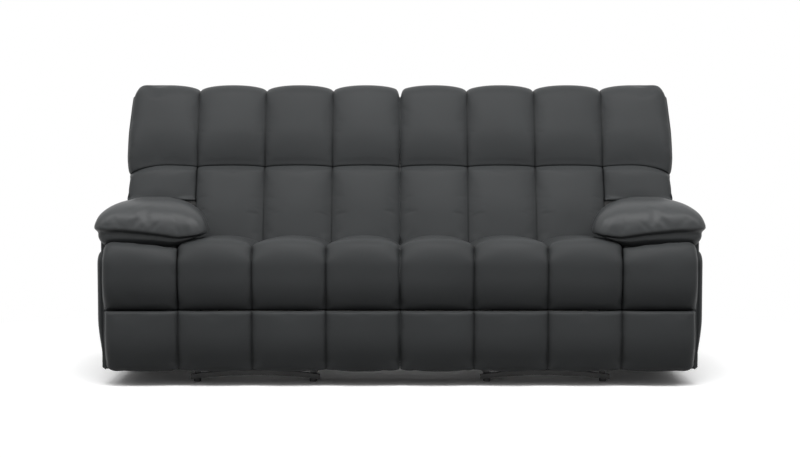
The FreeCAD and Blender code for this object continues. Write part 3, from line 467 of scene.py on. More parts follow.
def leather(name, base=0.049, roughness=0.42, grain=1.0, specular=0.1):
    """Pebbled charcoal leather, slightly uneven in tone, with painted shade in the valleys of its
    seams.
    """
    material, nodes, links, shader = node_material(name)
    tint = (0.95, 1.0, 1.03)
    place = add_node(nodes, "ShaderNodeTexCoord")
    pebble = add_node(nodes, "ShaderNodeTexVoronoi", feature="DISTANCE_TO_EDGE", Scale=430.0)
    fine = add_node(nodes, "ShaderNodeTexNoise", Scale=900.0, Detail=3.0, Roughness=0.6)
    slow = add_node(nodes, "ShaderNodeTexNoise", Scale=16.0, Detail=4.0, Roughness=0.55)
    patch = add_node(nodes, "ShaderNodeTexNoise", Scale=4.0, Detail=2.0)
    for texture in (pebble, fine, slow, patch):
        links.new(place.outputs["Object"], texture.inputs["Vector"])
    tone = add_node(nodes, "ShaderNodeValToRGB")
    tone.color_ramp.elements[0].position = 0.3
    tone.color_ramp.elements[1].position = 0.7
    tone.color_ramp.elements[0].color = grey(base * 0.93, tint)
    tone.color_ramp.elements[1].color = grey(base * 1.07, tint)
    links.new(patch.outputs["Fac"], tone.inputs["Fac"])
    # The 'seam' attribute marks the seam valleys, and mixing towards near-black leather there is
    # painted shade.
    seam = add_node(nodes, "ShaderNodeAttribute", attribute_name="seam")
    painted_seam_shade = add_node(nodes, "ShaderNodeMix", data_type="RGBA")
    painted_seam_shade.inputs["B"].default_value = grey(base * 0.22, tint)
    links.new(seam.outputs["Fac"], painted_seam_shade.inputs["Factor"])
    links.new(tone.outputs["Color"], painted_seam_shade.inputs["A"])
    links.new(painted_seam_shade.outputs["Result"], shader.inputs["Base Color"])
    gloss = add_node(nodes, "ShaderNodeMapRange", To_Min=roughness - 0.05, To_Max=roughness + 0.06)
    links.new(slow.outputs["Fac"], gloss.inputs["Value"])
    links.new(gloss.outputs["Result"], shader.inputs["Roughness"])
    shader.inputs["Specular IOR Level"].default_value = specular
    edge = add_node(nodes, "ShaderNodeMapRange", From_Min=0.0, From_Max=0.12)
    links.new(pebble.outputs["Distance"], edge.inputs["Value"])
    bump_slow = add_node(nodes, "ShaderNodeBump", Strength=0.35, Distance=0.0016)
    bump_pebble = add_node(nodes, "ShaderNodeBump", Strength=0.16 * grain, Distance=0.0005)
    bump_fine = add_node(nodes, "ShaderNodeBump", Strength=0.10 * grain, Distance=0.0003)
    links.new(slow.outputs["Fac"], bump_slow.inputs["Height"])
    links.new(edge.outputs["Result"], bump_pebble.inputs["Height"])
    links.new(fine.outputs["Fac"], bump_fine.inputs["Height"])
    links.new(bump_slow.outputs["Normal"], bump_pebble.inputs["Normal"])
    links.new(bump_pebble.outputs["Normal"], bump_fine.inputs["Normal"])
    links.new(bump_fine.outputs["Normal"], shader.inputs["Normal"])
    return material


def steel(name, base, roughness, metallic, speck):
    """Painted or plated steel with a fine orange-peel surface."""
    material, nodes, links, shader = node_material(name)
    place = add_node(nodes, "ShaderNodeTexCoord")
    peel = add_node(nodes, "ShaderNodeTexNoise", Scale=260.0, Detail=3.0)
    cloud = add_node(nodes, "ShaderNodeTexNoise", Scale=22.0, Detail=3.0)
    for texture in (peel, cloud):
        links.new(place.outputs["Object"], texture.inputs["Vector"])
    tone = add_node(nodes, "ShaderNodeValToRGB")
    tone.color_ramp.elements[0].color = grey(base * (1 - speck))
    tone.color_ramp.elements[1].color = grey(base * (1 + speck))
    links.new(cloud.outputs["Fac"], tone.inputs["Fac"])
    links.new(tone.outputs["Color"], shader.inputs["Base Color"])
    gloss = add_node(nodes, "ShaderNodeMapRange", To_Min=roughness - 0.08, To_Max=roughness + 0.1)
    links.new(cloud.outputs["Fac"], gloss.inputs["Value"])
    links.new(gloss.outputs["Result"], shader.inputs["Roughness"])
    shader.inputs["Metallic"].default_value = metallic
    bump = add_node(nodes, "ShaderNodeBump", Strength=0.12, Distance=0.0004)
    links.new(peel.outputs["Fac"], bump.inputs["Height"])
    links.new(bump.outputs["Normal"], shader.inputs["Normal"])
    return material


def plastic(name):
    """Moulded black plastic with a spark-eroded grain."""
    material, nodes, links, shader = node_material(name)
    place = add_node(nodes, "ShaderNodeTexCoord")
    grain = add_node(nodes, "ShaderNodeTexNoise", Scale=1400.0, Detail=2.0)
    wear = add_node(nodes, "ShaderNodeTexNoise", Scale=30.0, Detail=4.0)
    for texture in (grain, wear):
        links.new(place.outputs["Object"], texture.inputs["Vector"])
    tone = add_node(nodes, "ShaderNodeValToRGB")
    tone.color_ramp.elements[0].color = grey(0.010)
    tone.color_ramp.elements[1].color = grey(0.017)
    links.new(wear.outputs["Fac"], tone.inputs["Fac"])
    links.new(tone.outputs["Color"], shader.inputs["Base Color"])
    gloss = add_node(nodes, "ShaderNodeMapRange", To_Min=0.34, To_Max=0.5)
    links.new(wear.outputs["Fac"], gloss.inputs["Value"])
    links.new(gloss.outputs["Result"], shader.inputs["Roughness"])
    bump = add_node(nodes, "ShaderNodeBump", Strength=0.2, Distance=0.0002)
    links.new(grain.outputs["Fac"], bump.inputs["Height"])
    links.new(bump.outputs["Normal"], shader.inputs["Normal"])
    return material


def timber(name, strength=1.0):
    """Softwood with long grain along X and Z; a low strength makes a near-black copy, which is
    painted shade.
    """
    material, nodes, links, shader = node_material(name)
    place = add_node(nodes, "ShaderNodeTexCoord")
    stretch = add_node(nodes, "ShaderNodeMapping", Scale=(1.5, 14.0, 9.0))
    links.new(place.outputs["Object"], stretch.inputs["Vector"])
    rings = add_node(nodes, "ShaderNodeTexWave", Scale=3.0, Distortion=7.0, Detail=3.0)
    pores = add_node(nodes, "ShaderNodeTexNoise", Scale=26.0, Detail=6.0)
    for texture in (rings, pores):
        links.new(stretch.outputs["Vector"], texture.inputs["Vector"])
    mixed = add_node(nodes, "ShaderNodeMix", data_type="FLOAT", Factor=0.45)
    links.new(rings.outputs["Fac"], mixed.inputs["A"])
    links.new(pores.outputs["Fac"], mixed.inputs["B"])
    tone = add_node(nodes, "ShaderNodeValToRGB")
    tone.color_ramp.elements[0].color = grey(0.30 * strength, (1.0, 0.57, 0.27))
    tone.color_ramp.elements[1].color = grey(0.56 * strength, (1.0, 0.68, 0.38))
    links.new(mixed.outputs["Result"], tone.inputs["Fac"])
    links.new(tone.outputs["Color"], shader.inputs["Base Color"])
    shader.inputs["Roughness"].default_value = 0.7
    bump = add_node(nodes, "ShaderNodeBump", Strength=0.25, Distance=0.0006)
    links.new(mixed.outputs["Result"], bump.inputs["Height"])
    links.new(bump.outputs["Normal"], shader.inputs["Normal"])
    return material


LEATHER = leather("charcoal_leather")
SMOOTH_LEATHER = leather(
    "charcoal_leather_smooth", base=0.056, roughness=0.36, grain=0.8, specular=0.2
)
BLACK_STEEL = steel("black_steel", 0.004, 0.42, 0.0, 0.2)
BOLT_STEEL = steel("bolt_steel", 0.28, 0.32, 1.0, 0.15)
SPRING_STEEL = steel("spring_steel", 0.36, 0.36, 1.0, 0.25)
PLASTIC = plastic("black_plastic")
TIMBER = timber("timber")
# The boards' near-black timber is painted shade, so that they sink into the dark gaps they show
# through.
SHADE_DARK_TIMBER = timber("timber_painted_shade", 0.06)
SLOT_MATERIALS = {
    "charcoal_leather": LEATHER,
    "black_steel": BLACK_STEEL,
    "bolt_steel": BOLT_STEEL,
    "spring_steel": SPRING_STEEL,
    "black_plastic": PLASTIC,
    "timber": TIMBER,
}


def dress_cad_nodes():
    """Gives each carried-over CAD node the node material of its slot."""
    for node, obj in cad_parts.items():
        for i, slot in enumerate(obj.material_slots):
            name = slot.material.name if slot.material else ""
            for key, material in SLOT_MATERIALS.items():
                if name.startswith(key):
                    # Boards take the near-black timber: painted shade.
                    shade_darkened = key == "timber" and "_board" in node
                    obj.material_slots[i].material = SHADE_DARK_TIMBER if shade_darkened else material


def take_place(piece, material, body, node):
    """Dresses a finished piece and puts it in the place of its CAD node."""
    piece.data.materials.clear()
    piece.data.materials.append(material)
    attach(piece, body)
    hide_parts(node)


def finish_pair(obj, material, body, node):
    """Puts a finished right-hand piece and its mirror image in place."""
    twin = mirrored(obj, obj.name.replace("_right", "_left"))
    for piece, side in ((obj, "_right"), (twin, "_left")):
        carrier = body if body == "frame" else body + side
        take_place(piece, material, carrier, node + side)


# Cushions


def column_draw(x, seams):
    """How far each point of a ring is drawn in at x by the seams beside it."""
    return max(shoulder(abs(x - seam), SEAM_DEPTH, HALF_COLUMN) for seam in seams)


def all_stations(edges):
    """X places across several columns, each seam once."""
    xs = [stations(x0, x1) for x0, x1 in zip(edges, edges[1:])]
    joined = [xs[0]] + [x[1:] for x in xs[1:]]
    return np.concatenate(joined)


def seam_shade_mark(co, x_seams):
    """A number near 1 on the column seams, where the leather takes painted shade in their valleys.
    """
    x = co[:, 0] / MM
    marks = [np.exp(-(((x - seam) / SEAM_SHADE_WIDTH) ** 2)) for seam in x_seams]
    return np.max(marks, axis=0)


def seat_rear_y(z):
    """The y of the seat's rear face, which leans along the back."""
    return BACK_ORIGIN[0] + (z - BACK_ORIGIN[1]) * math.tan(BACK_TILT) - SEAT_BACK_GAP


def roll_weights(section):
    """How much of a column's draw each point of the roll takes rearward, and down."""
    forward = eased((ROLL_DRAW_Y - section[:, 0]) / ROLL_DRAW_RUN)
    up = eased((section[:, 1] - CROWN_Z) / CROWN_RUN)
    return forward, up


def roll_held(section):
    """The points of the roll that don't swell: its rear and its foot."""
    normal = normals_of(section)
    return (normal[:, 0] > FACES_REAR) | (section[:, 1] < ROLL_HELD_Z)


def seat_piece():
    """Seat cushion with its front roll, and the roll's outer end in front of the arm."""
    body = Body()
    roll_front = [
        (ROLL_REAR, 272, 8, 14),
        (-440, ROLL_BOTTOM, 16, 8),
        (ROLL_FRONT - 3, 342, 170, 9),
    ]
    middle = outline(
        roll_front
        + [
            (ROLL_FRONT + 1, 455, 145, 9),
            (-436, 521, 54, 9),
            (seat_rear_y(SEAT_REAR_Z), SEAT_REAR_Z, 22, 20),
            (seat_rear_y(SEAT_FLOOR_Z), SEAT_FLOOR_Z, 4, 30),
            (ROLL_REAR, SEAT_FLOOR_Z, 4, 14),
        ]
    )
    underside = (normals_of(middle)[:, 1] < FACES_DOWN) & (middle[:, 0] > SEAT_FLOOR_FRONT)
    forward, up = roll_weights(middle)

    def middle_ring(x):
        draw = column_draw(x, COLUMN_EDGES)
        ring = middle.copy()
        ring[:, 0] += draw * forward
        ring[:, 1] -= 1.12 * draw * up
        return ring

    body.sweep(
        all_stations(COLUMN_EDGES),
        middle_ring,
        lambda x: (-440, 460),
        cap_bulge=(3.0, 0.5),
        pinned=roll_held(middle) | underside,
        seams=COLUMN_EDGES[1:3],
    )
    inner_x = COLUMN_EDGES[3]
    end = outline(
        roll_front
        + [
            (ROLL_FRONT + 1, 455, 125, 9),
            (-440, 510, 38, 9),
            (-399, 506, 14, 11),
            (-399, 486, 3, 14),
            (ROLL_REAR, 486, 3, 14),
        ]
    )
    end_forward, end_up = roll_weights(end)
    end_slope = np.clip((end[:, 1] - END_DIP_Z) / END_DIP_RISE, 0, 1)

    def end_ring(x):
        inner = shoulder(x - inner_x, SEAM_DEPTH, HALF_COLUMN)
        outer = shoulder(ROLL_OUTER - x, END_DEPTH, END_REACH)
        dip = END_DIP * (1 - eased((x - inner_x) / END_DIP_RUN))
        ring = end.copy()
        ring[:, 0] += max(inner, outer) * end_forward
        ring[:, 1] -= (0.5 * inner + 1.1 * outer) * end_up + dip * end_slope
        return ring

    body.sweep(
        stations(inner_x, ROLL_OUTER),
        end_ring,
        lambda x: (-432, 390),
        cap_bulge=(0.5, 3.0),
        pinned=roll_held(end),
    )
    return body.object("seat_leather_right")


def footrest_piece():
    """The footrest's tufted pad."""
    body = Body()
    edges = COLUMN_EDGES + [FOOTREST_OUTER]
    section = outline(
        [
            (FOOTREST_REAR, 56, 8, 14),
            (-434, FOOTREST_BOTTOM, 18, 8),
            (ROLL_FRONT - 3, 152, 190, 9),
            (ROLL_FRONT + 6, FOOTREST_TOP, 10, 9),
            (FOOTREST_REAR, FOOTREST_TOP - 1, 5, 14),
        ]
    )
    behind = normals_of(section)[:, 0] > FACES_REAR
    forward = eased((FOOTREST_REAR - section[:, 0]) / FOOTREST_DRAW_RUN)
    low = eased((FOOTREST_LOW_Z - section[:, 1]) / FOOTREST_LOW_RUN)

    def ring(x):
        draw = column_draw(x, edges[:-1])
        end_draw = shoulder(edges[-1] - x, END_DEPTH, END_REACH)
        made = section.copy()
        made[:, 0] += max(draw, end_draw) * forward
        made[:, 1] += (0.2 * draw + 0.9 * end_draw) * low
        return made

    body.sweep(
        all_stations(edges),
        ring,
        lambda x: (-432, 162),
        cap_bulge=(3.0, 3.0),
        pinned=behind | (section[:, 1] > FOOTREST_TOP - FOOTREST_HELD),
        seams=edges[1:4],
    )
    return body.object("footrest_leather_right")


def seam_drop(x):
    """How far the seam between the back's rows drops towards the wing's outer edge."""
    part = np.clip((x - SEAM_DROP_X) / (WING_OUTER - SEAM_DROP_X), 0, 1)
    return SEAM_DROP * part ** SEAM_DROP_POWER


def wing_place(x, y, z):
    """Shapes the wing's outer edge: widest above the row seam, narrower towards the top."""
    inner = COLUMN_EDGES[-1]
    if x > inner:
        rearward, up = y - BACK_ORIGIN[0], z - BACK_ORIGIN[1]
        s = rearward * math.sin(BACK_TILT) + up * math.cos(BACK_TILT)
        outer = np.interp(s + seam_drop(x), WING_S, WING_X)
        x = inner + (x - inner) * (outer - inner) / (WING_OUTER - inner)
    return x, y, z


def tilted(ring):
    """A ring of the back's (s, t) points as (y, z)."""
    return np.array([back_point(s, t) for s, t in ring])


def head_row(body):
    """Adds the back's upper row, with the wing's upper part."""
    edges = COLUMN_EDGES + [WING_OUTER]
    head = outline(
        [
            (HEAD_SEAM, BACK_REAR_T, 4, 30),
            (HEAD_SEAM, 25, 9, 10),
            (376, -3, 330, 10),
            (HEAD_TOP, 0, 60, 9),
            (HEAD_TOP - 4, 165, 34, 14),
            (584, 222, 8, 14),
            (584, BACK_REAR_T, 4, 30),
        ]
    )
    behind = (head[:, 1] > BACK_HELD_T) & (head[:, 0] < HEAD_HELD_S)
    forward = eased((BACK_DRAW_T - head[:, 1]) / BACK_DRAW_RUN)
    up = eased((head[:, 0] - HEAD_TOP + HEAD_ROUND) / HEAD_ROUND_RUN)

    def ring_at(x):
        draw = column_draw(x, edges[:-1])
        notch = shoulder(abs(x - edges[0]), NOTCH_DEPTH, NOTCH_REACH)
        outer = shoulder(abs(x - edges[-1]), WING_ROUND_DEPTH, WING_ROUND_REACH)
        ring = head.copy()
        ring[:, 1] += max(draw, outer) * forward
        ring[:, 0] -= max(0.62 * draw, notch, outer) * up
        dropped = np.clip(1 - (ring[:, 0] - HEAD_SEAM) / HEAD_DROP_RUN, 0, 1)
        ring[:, 0] -= seam_drop(x) * dropped
        return tilted(ring)

    body.sweep(
        all_stations(edges),
        ring_at,
        lambda x: back_point(560, 60),
        cap_bulge=(3.0, 4.0),
        pinned=behind | (head[:, 0] < HEAD_SEAM + SEAM_LIP),
        seams=edges[1:4],
        place=wing_place,
    )


def lower_row(body, edges, foot, centre, cap_bulge, held_to):
    """Adds a part of the back's lower row, from its foot's corners up to the row seam."""
    lip = HEAD_SEAM - 0.5
    section = outline(foot + [(lip, BACK_REAR_T, 4, 30)])
    behind = (section[:, 1] > BACK_HELD_T) | (section[:, 0] < held_to)
    forward = eased((BACK_DRAW_T - section[:, 1]) / BACK_DRAW_RUN) * ~behind

    def ring_at(x):
        ring = section.copy()
        ring[:, 1] += column_draw(x, edges) * forward
        dropped = np.clip((ring[:, 0] - LUMBAR_DROP_S) / LUMBAR_DROP_RUN, 0, 1)
        ring[:, 0] -= seam_drop(x) * dropped
        return tilted(ring)

    body.sweep(
        all_stations(edges),
        ring_at,
        lambda x: back_point(*centre),
        cap_bulge=cap_bulge,
        pinned=behind | (section[:, 0] > HEAD_SEAM - SEAM_LIP),
        seams=edges[1:-1],
        place=wing_place,
    )


def back_piece():
    """The back's two rows of tufted columns, with the wing over the arm."""
    body = Body()
    head_row(body)
    main_foot = [
        (-76.0, BACK_REAR_T, 3, 30),
        (-117.0, 7.0, 10, 14),
        (120.0, -2.0, 900, 11),
        (HEAD_SEAM - 22, 5, 24, 8),
        (HEAD_SEAM - 0.5, 24, 8, 8),
    ]
    lower_row(body, COLUMN_EDGES, main_foot, (150, 70), (3.0, 0.5), -60.0)
    wing_foot = [
        (WING_FOOT, BACK_REAR_T, 3, 30),
        (WING_FOOT, 8.0, 14, 14),
        (HEAD_SEAM - 22, 3, 24, 8),
        (HEAD_SEAM - 0.5, 22, 8, 8),
    ]
    wing_edges = [COLUMN_EDGES[3], WING_OUTER]
    lower_row(body, wing_edges, wing_foot, (215, 66), (0.5, 4.0), WING_FOOT + WING_HELD)
    return body.object("back_leather_right")


# Arms

# Plan of the arm pillow at its welt: corners (x, y, radius)
PILLOW_PLAN = [
    (1071, -437, 46),
    (1071, 95, 60),
    (779, 95, 40),
    (779, -50, 34),
    (706, -50, 44),
    (670, -437, 62),
]
PILLOW_PLAN_STEP = 13.0
PILLOW_CENTRE = (885.0, -190.0)

# The crown's height over the welt, how it falls rearward, and the curve of its slope: a power
# and a root along Y, and along X with an extra on the outer side
PILLOW_CROWN = 101.0
CROWN_FALL = 0.012
CROWN_FALL_Y = -330.0
CROWN_WELT_Z = 545.0
POWER_Y = 3.6
POWER_X = 2.2
POWER_OUTER = 0.3
ROOT_Y = 0.5
ROOT_X = 0.55
ROOT_OUTER = 0.15
FRONT_BULGE = 5.0
FRONT_BULGE_POWER = 6

# Heights of the welt and of the lower edge of the band below it, across the pillow
WELT_X = (670, 704, 772, 862, 968, 1057)
WELT_Z = (536, 531, 525, 540, 551, 552)
WELT_DROP = 2.0
# Half width of the painted shade along the welt
WELT_SHADE_WIDTH = 3.5
BAND_X = (670, 704, 760, 800, 900, 1034)
BAND_Z = (528, 519, 497, 488, 490, 488)
BAND_INSET = 14.0
BAND_BELLY = 7.0
BAND_TUCK = 32.0
CROWN_STEPS = 22
BAND_STEPS = 7
BASE_SHRINK = (0.85, 0.6, 0.3, 0.08)


def pillow_point(edge, part):
    """A point of the pillow's crown, at a share of the way from its centre to its welt."""
    centre = np.array(PILLOW_CENTRE)
    away = edge - centre
    way = away / np.linalg.norm(away)
    along_y = way[1] ** 2
    outer = 1.0 if away[0] > 0 else 0.0
    power = along_y * POWER_Y + (1 - along_y) * (POWER_X + POWER_OUTER * outer)
    root = along_y * ROOT_Y + (1 - along_y) * (ROOT_X + ROOT_OUTER * outer)
    x, y = centre + away * part
    welt = np.interp(edge[0], WELT_X, WELT_Z)
    crown = PILLOW_CROWN - CROWN_FALL * (y - CROWN_FALL_Y) + (CROWN_WELT_Z - welt)
    height = welt + crown * max(0.0, 1 - part ** power) ** root
    bulge = FRONT_BULGE * math.sin(math.pi * min(1.0, part ** FRONT_BULGE_POWER)) * along_y
    return x + way[0] * bulge, y + way[1] * bulge, height


def pillow_piece():
    """The pillow on the arm: a crown, a drawn-in welt, and a band below it."""
    edges = outline(PILLOW_PLAN, PILLOW_PLAN_STEP)
    count = len(edges)
    body = Body()
    for part in np.sin(np.linspace(0.05, 0.5 * math.pi, CROWN_STEPS)):
        body.verts += [pillow_point(edge, part) for edge in edges]
    first_pin = (CROWN_STEPS - 1) * count
    for k in range(1, BAND_STEPS + 1):
        down = k / BAND_STEPS
        belly = math.sin(0.5 * math.pi * min(1.0, 2.2 * (down - 0.14)))
        inset = BAND_INSET - BAND_BELLY * belly + BAND_TUCK * down ** 2
        for edge, way in zip(edges, normals_of(edges)):
            low = np.interp(edge[0], BAND_X, BAND_Z)
            top = np.interp(edge[0], WELT_X, WELT_Z) - WELT_DROP
            x, y = edge - way * inset
            body.verts.append((x, y, top - (top - low) * down))
    for shrink in BASE_SHRINK:
        for edge in edges:
            x, y = np.array(PILLOW_CENTRE) + (edge - PILLOW_CENTRE) * shrink
            body.verts.append((x, y, np.interp(edge[0], BAND_X, BAND_Z)))
    body.pins = list(range(first_pin, len(body.verts)))
    rings = len(body.verts) // count
    for i in range(rings - 1):
        for j in range(count):
            a = i * count + j
            b = i * count + (j + 1) % count
            body.faces.append((a, b, b + count, a + count))
    body.close(0, count, True)
    body.close((rings - 1) * count, count, False)
    return body.object("arm_pillow_right")


def welt_shade_mark(co):
    """A number near 1 along the pillow's welt, for painted shade in its crease, and 0 on the crown
    inside it.
    """
    x, y, z = co.T / MM
    gap = z - np.interp(x, WELT_X, WELT_Z) + WELT_DROP
    mark = np.exp(-((gap / WELT_SHADE_WIDTH) ** 2))
    inside = (x > 700) & (x < 1040) & (y > -400) & (y < 60)
    return np.where(inside, 0.0, mark)


# Folds beside the pillow's welt, in metres: start, end, half width, depth
FOLD_END = 0.08
FOLD_RIM = 0.45
FOLD_RIM_PLACE = 1.9
PILLOW_FOLDS = [
    ((0.868, -0.440, 0.548), (0.838, -0.432, 0.580), 0.006, 0.0022),
    ((0.770, -0.436, 0.534), (0.782, -0.428, 0.566), 0.006, 0.0022),
    ((0.884, -0.430, 0.520), (0.862, -0.434, 0.528), 0.006, 0.0022),
    ((0.930, -0.436, 0.560), (0.905, -0.425, 0.592), 0.009, 0.0016),
    ((0.712, -0.434, 0.545), (0.728, -0.420, 0.590), 0.009, 0.0016),
]


# The arm's box: its sides, the rounding of its edges, and its outline seen from the side
ARM_INNER_X = 780.0
ARM_OUTER_X = 1049.0
ARM_INNER_ROUND = 12.0
ARM_OUTER_ROUND = 8.0
ARM_BOTTOM = 57.0
ARM_CENTRE = (0.0, 170.0)
EDGE_REACH = 14.0
ARM_LINE = [
    (-397, 57, 8, 20),
    (-397, 518, 16, 20),
    (122, 518, 26, 20),
    (181, 488, 30, 20),
    (247, 305, 40, 20),
    (453, 289, 16, 20),
    (453, 57, 8, 20),
]

# The release cup (y, z, half sizes) and the hole that leaves room for it
HANDLE = (-158.0, 400.0, 56.0, 33.0)
HOLE_X = 1055.0
HOLE_DEPTH = 80.0
HOLE_MARGIN = 4.0


def near_edge(x0):
    """X places round the edge that starts at x0."""
    return x0 + EDGE_REACH * (1 - np.cos(np.linspace(0, math.pi / 2, 5)))


def far_edge(x1):
    """X places round the edge that ends at x1."""
    return x1 - EDGE_REACH * (1 - np.cos(np.linspace(math.pi / 2, 0, 5)))


def arm_box_piece():
    """The arm's upholstered box, rounded where its panels are sewn."""
    body = Body()
    line = outline(ARM_LINE)
    normal = normals_of(line)

    def ring(x):
        inner = float(shoulder(x - ARM_INNER_X, ARM_INNER_ROUND, EDGE_REACH))
        outer = float(shoulder(ARM_OUTER_X - x, ARM_OUTER_ROUND, EDGE_REACH))
        made = line - normal * (inner + outer)
        made[:, 1] = np.maximum(made[:, 1], ARM_BOTTOM)
        return made

    middle = np.arange(815.0, 1030.0, 20.0)
    xs = np.concatenate([near_edge(ARM_INNER_X), middle, far_edge(ARM_OUTER_X)])
    body.sweep(xs, ring, lambda x: ARM_CENTRE, cap_bulge=(0.4, 0.4))
    return body.object("arm_box_right")


# The side pad: its outline, its steps outward (x, inset, size), and how it thins downward
SIDE_LINE = [
    (-397, 51, 24, 14),
    (-397, 472, 46, 14),
    (112, 478, 34, 14),
    (171, 462, 34, 14),
    (241, 301, 40, 14),
    (453, 287, 30, 14),
    (453, 51, 24, 14),
]
SIDE_STEPS = [
    (1040.0, 5.0, 1.0),
    (1046.0, 2.0, 1.0),
    (1050.0, 0.5, 1.0),
    (1054.0, 1.5, 1.0),
    (1058.0, 5.0, 1.0),
    (1061.5, 11.0, 1.0),
    (1064.0, 18.0, 1.0),
    (1066.0, 24.0, 0.985),
    (1067.5, 26.0, 0.955),
    (1069.0, 26.0, 0.91),
    (1070.0, 26.0, 0.86),
]
SIDE_STEPS += [(1070.4, 26.0, size) for size in (0.8, 0.7, 0.6, 0.5, 0.4, 0.3, 0.2)]
SIDE_INNER_X = 1038.0
SIDE_LEAST = 0.25
SIDE_THIN_Z = 45.0
SIDE_THIN_RUN = 190.0


def side_place(step, y, z):
    """A point of the side pad's ring at a step, nearer to the arm towards the lower edge."""
    out = SIDE_STEPS[int(round(step))][0] - SIDE_INNER_X
    share = SIDE_LEAST + (1 - SIDE_LEAST) * eased((z - SIDE_THIN_Z) / SIDE_THIN_RUN)
    return SIDE_INNER_X + out * share, y, z


def side_pad_piece():
    """The padded panel on the arm's outer side."""
    body = Body()
    line = outline(SIDE_LINE)
    normal = normals_of(line)
    centre = np.array(ARM_CENTRE)

    def ring(step):
        inset, size = SIDE_STEPS[step][1:]
        return centre + (line - normal * inset - centre) * size

    steps = range(len(SIDE_STEPS))
    body.sweep(steps, ring, lambda step: centre, cap_bulge=(0.0, 0.0), place=side_place)
    return body.object("arm_side_right")


# The outer back's section: front, rear, the corners of its top, and its edges' rounding
SHELL_FRONT_T = 124.0
SHELL_REAR_T = 248.0
SHELL_ROUND = 10.0
SHELL_STATION = 20.0
SHELL_TOP = [
    (596, SHELL_REAR_T, 20, 20),
    (587, 224, 6, 20),
    (586, SHELL_FRONT_T, 6, 20),
]


def shell_part(body, x0, x1, foot, centre, cap_bulge):
    """Adds a padded panel of the outer back between two x, above its foot's corners."""
    line = outline(foot + SHELL_TOP)
    normal = normals_of(line)

    def ring(x):
        inner = float(shoulder(x - x0, SHELL_ROUND, EDGE_REACH))
        outer = float(shoulder(x1 - x, SHELL_ROUND, EDGE_REACH))
        return tilted(line - normal * (inner + outer))

    near, far = near_edge(x0), far_edge(x1)
    middle = np.linspace(near[-1], far[0], int((far[0] - near[-1]) / SHELL_STATION))[1:-1]
    xs = np.concatenate([near, middle, far])
    body.sweep(xs, ring, lambda x: back_point(*centre), cap_bulge=cap_bulge)


def shell_piece():
    """The outer back: a padded panel with boxed sides, and a shorter one behind the wing."""
    body = Body()
    main_foot = [(-70, SHELL_FRONT_T, 6, 20), (-78, SHELL_REAR_T, 16, 20)]
    wing_foot = [(151, SHELL_FRONT_T, 6, 20), (151, SHELL_REAR_T, 16, 20)]
    shell_part(body, COLUMN_EDGES[0], COLUMN_EDGES[3], main_foot, (250, 186), (2.9, 0.4))
    shell_part(body, 770.0, WING_OUTER, wing_foot, (370, 186), (0.0, 1.5))
    return body.object("back_shell_leather_right")


VALANCE_END_X = 779.0
VALANCE_LINE = [
    (432, 262, 4, 20),
    (432, 285, 8, 20),
    (454, 285, 9, 20),
    (454, 57, 6, 20),
    (447, 57, 3, 20),
    (447, 262, 3, 20),
]


def valance_piece():
    """The upholstered rear board between the arms."""
    body = Body()
    line = outline(VALANCE_LINE)
    xs = np.linspace(-VALANCE_END_X, VALANCE_END_X, 80)
    body.sweep(xs, lambda x: line, lambda x: (449, 270), cap_bulge=(0.0, 0.0))
    return body.object("valance_leather")


# Studio and camera

FLOOR_REACH = 30.0
FLOOR_NEAR = 1.25
FLOOR_GLOW = 0.012
FLOOR_DIM = 0.06

# The ellipse that holds the shadow, and where its edge fades into the white, in its own radii
SHADOW_HALF_X = 1.9
SHADOW_HALF_Y = 1.25
FADE_START = 0.75
FADE_END = 1.5

# The world's brightness from straight down (0) to straight up (1)
SKY = [(0.0, 0.0), (0.5, 0.03), (0.6, 0.42), (1.0, 0.7)]

# Lamps: name, place, aim, size in metres, watts
LAMPS = [
    ("lamp_top", (0.0, -1.9, 3.8), (0.0, 0.0, 0.4), (4.2, 1.6), 120.0),
    ("lamp_left", (-2.6, -1.6, 2.4), (-0.6, 0.0, 0.5), (1.2, 1.2), 16.0),
    ("lamp_right", (2.6, -1.6, 2.4), (0.6, 0.0, 0.5), (1.2, 1.2), 16.0),
]


def background_ray(nodes, links):
    """A socket that is 1 for the rays that see the background: camera, glossy, transmission."""
    path = nodes.new("ShaderNodeLightPath")
    seen = add_node(nodes, "ShaderNodeMath", operation="MAXIMUM")
    seen_too = add_node(nodes, "ShaderNodeMath", operation="MAXIMUM")
    links.new(path.outputs["Is Camera Ray"], seen.inputs[0])
    links.new(path.outputs["Is Glossy Ray"], seen.inputs[1])
    links.new(seen.outputs[0], seen_too.inputs[0])
    links.new(path.outputs["Is Transmission Ray"], seen_too.inputs[1])
    return seen_too.outputs[0]


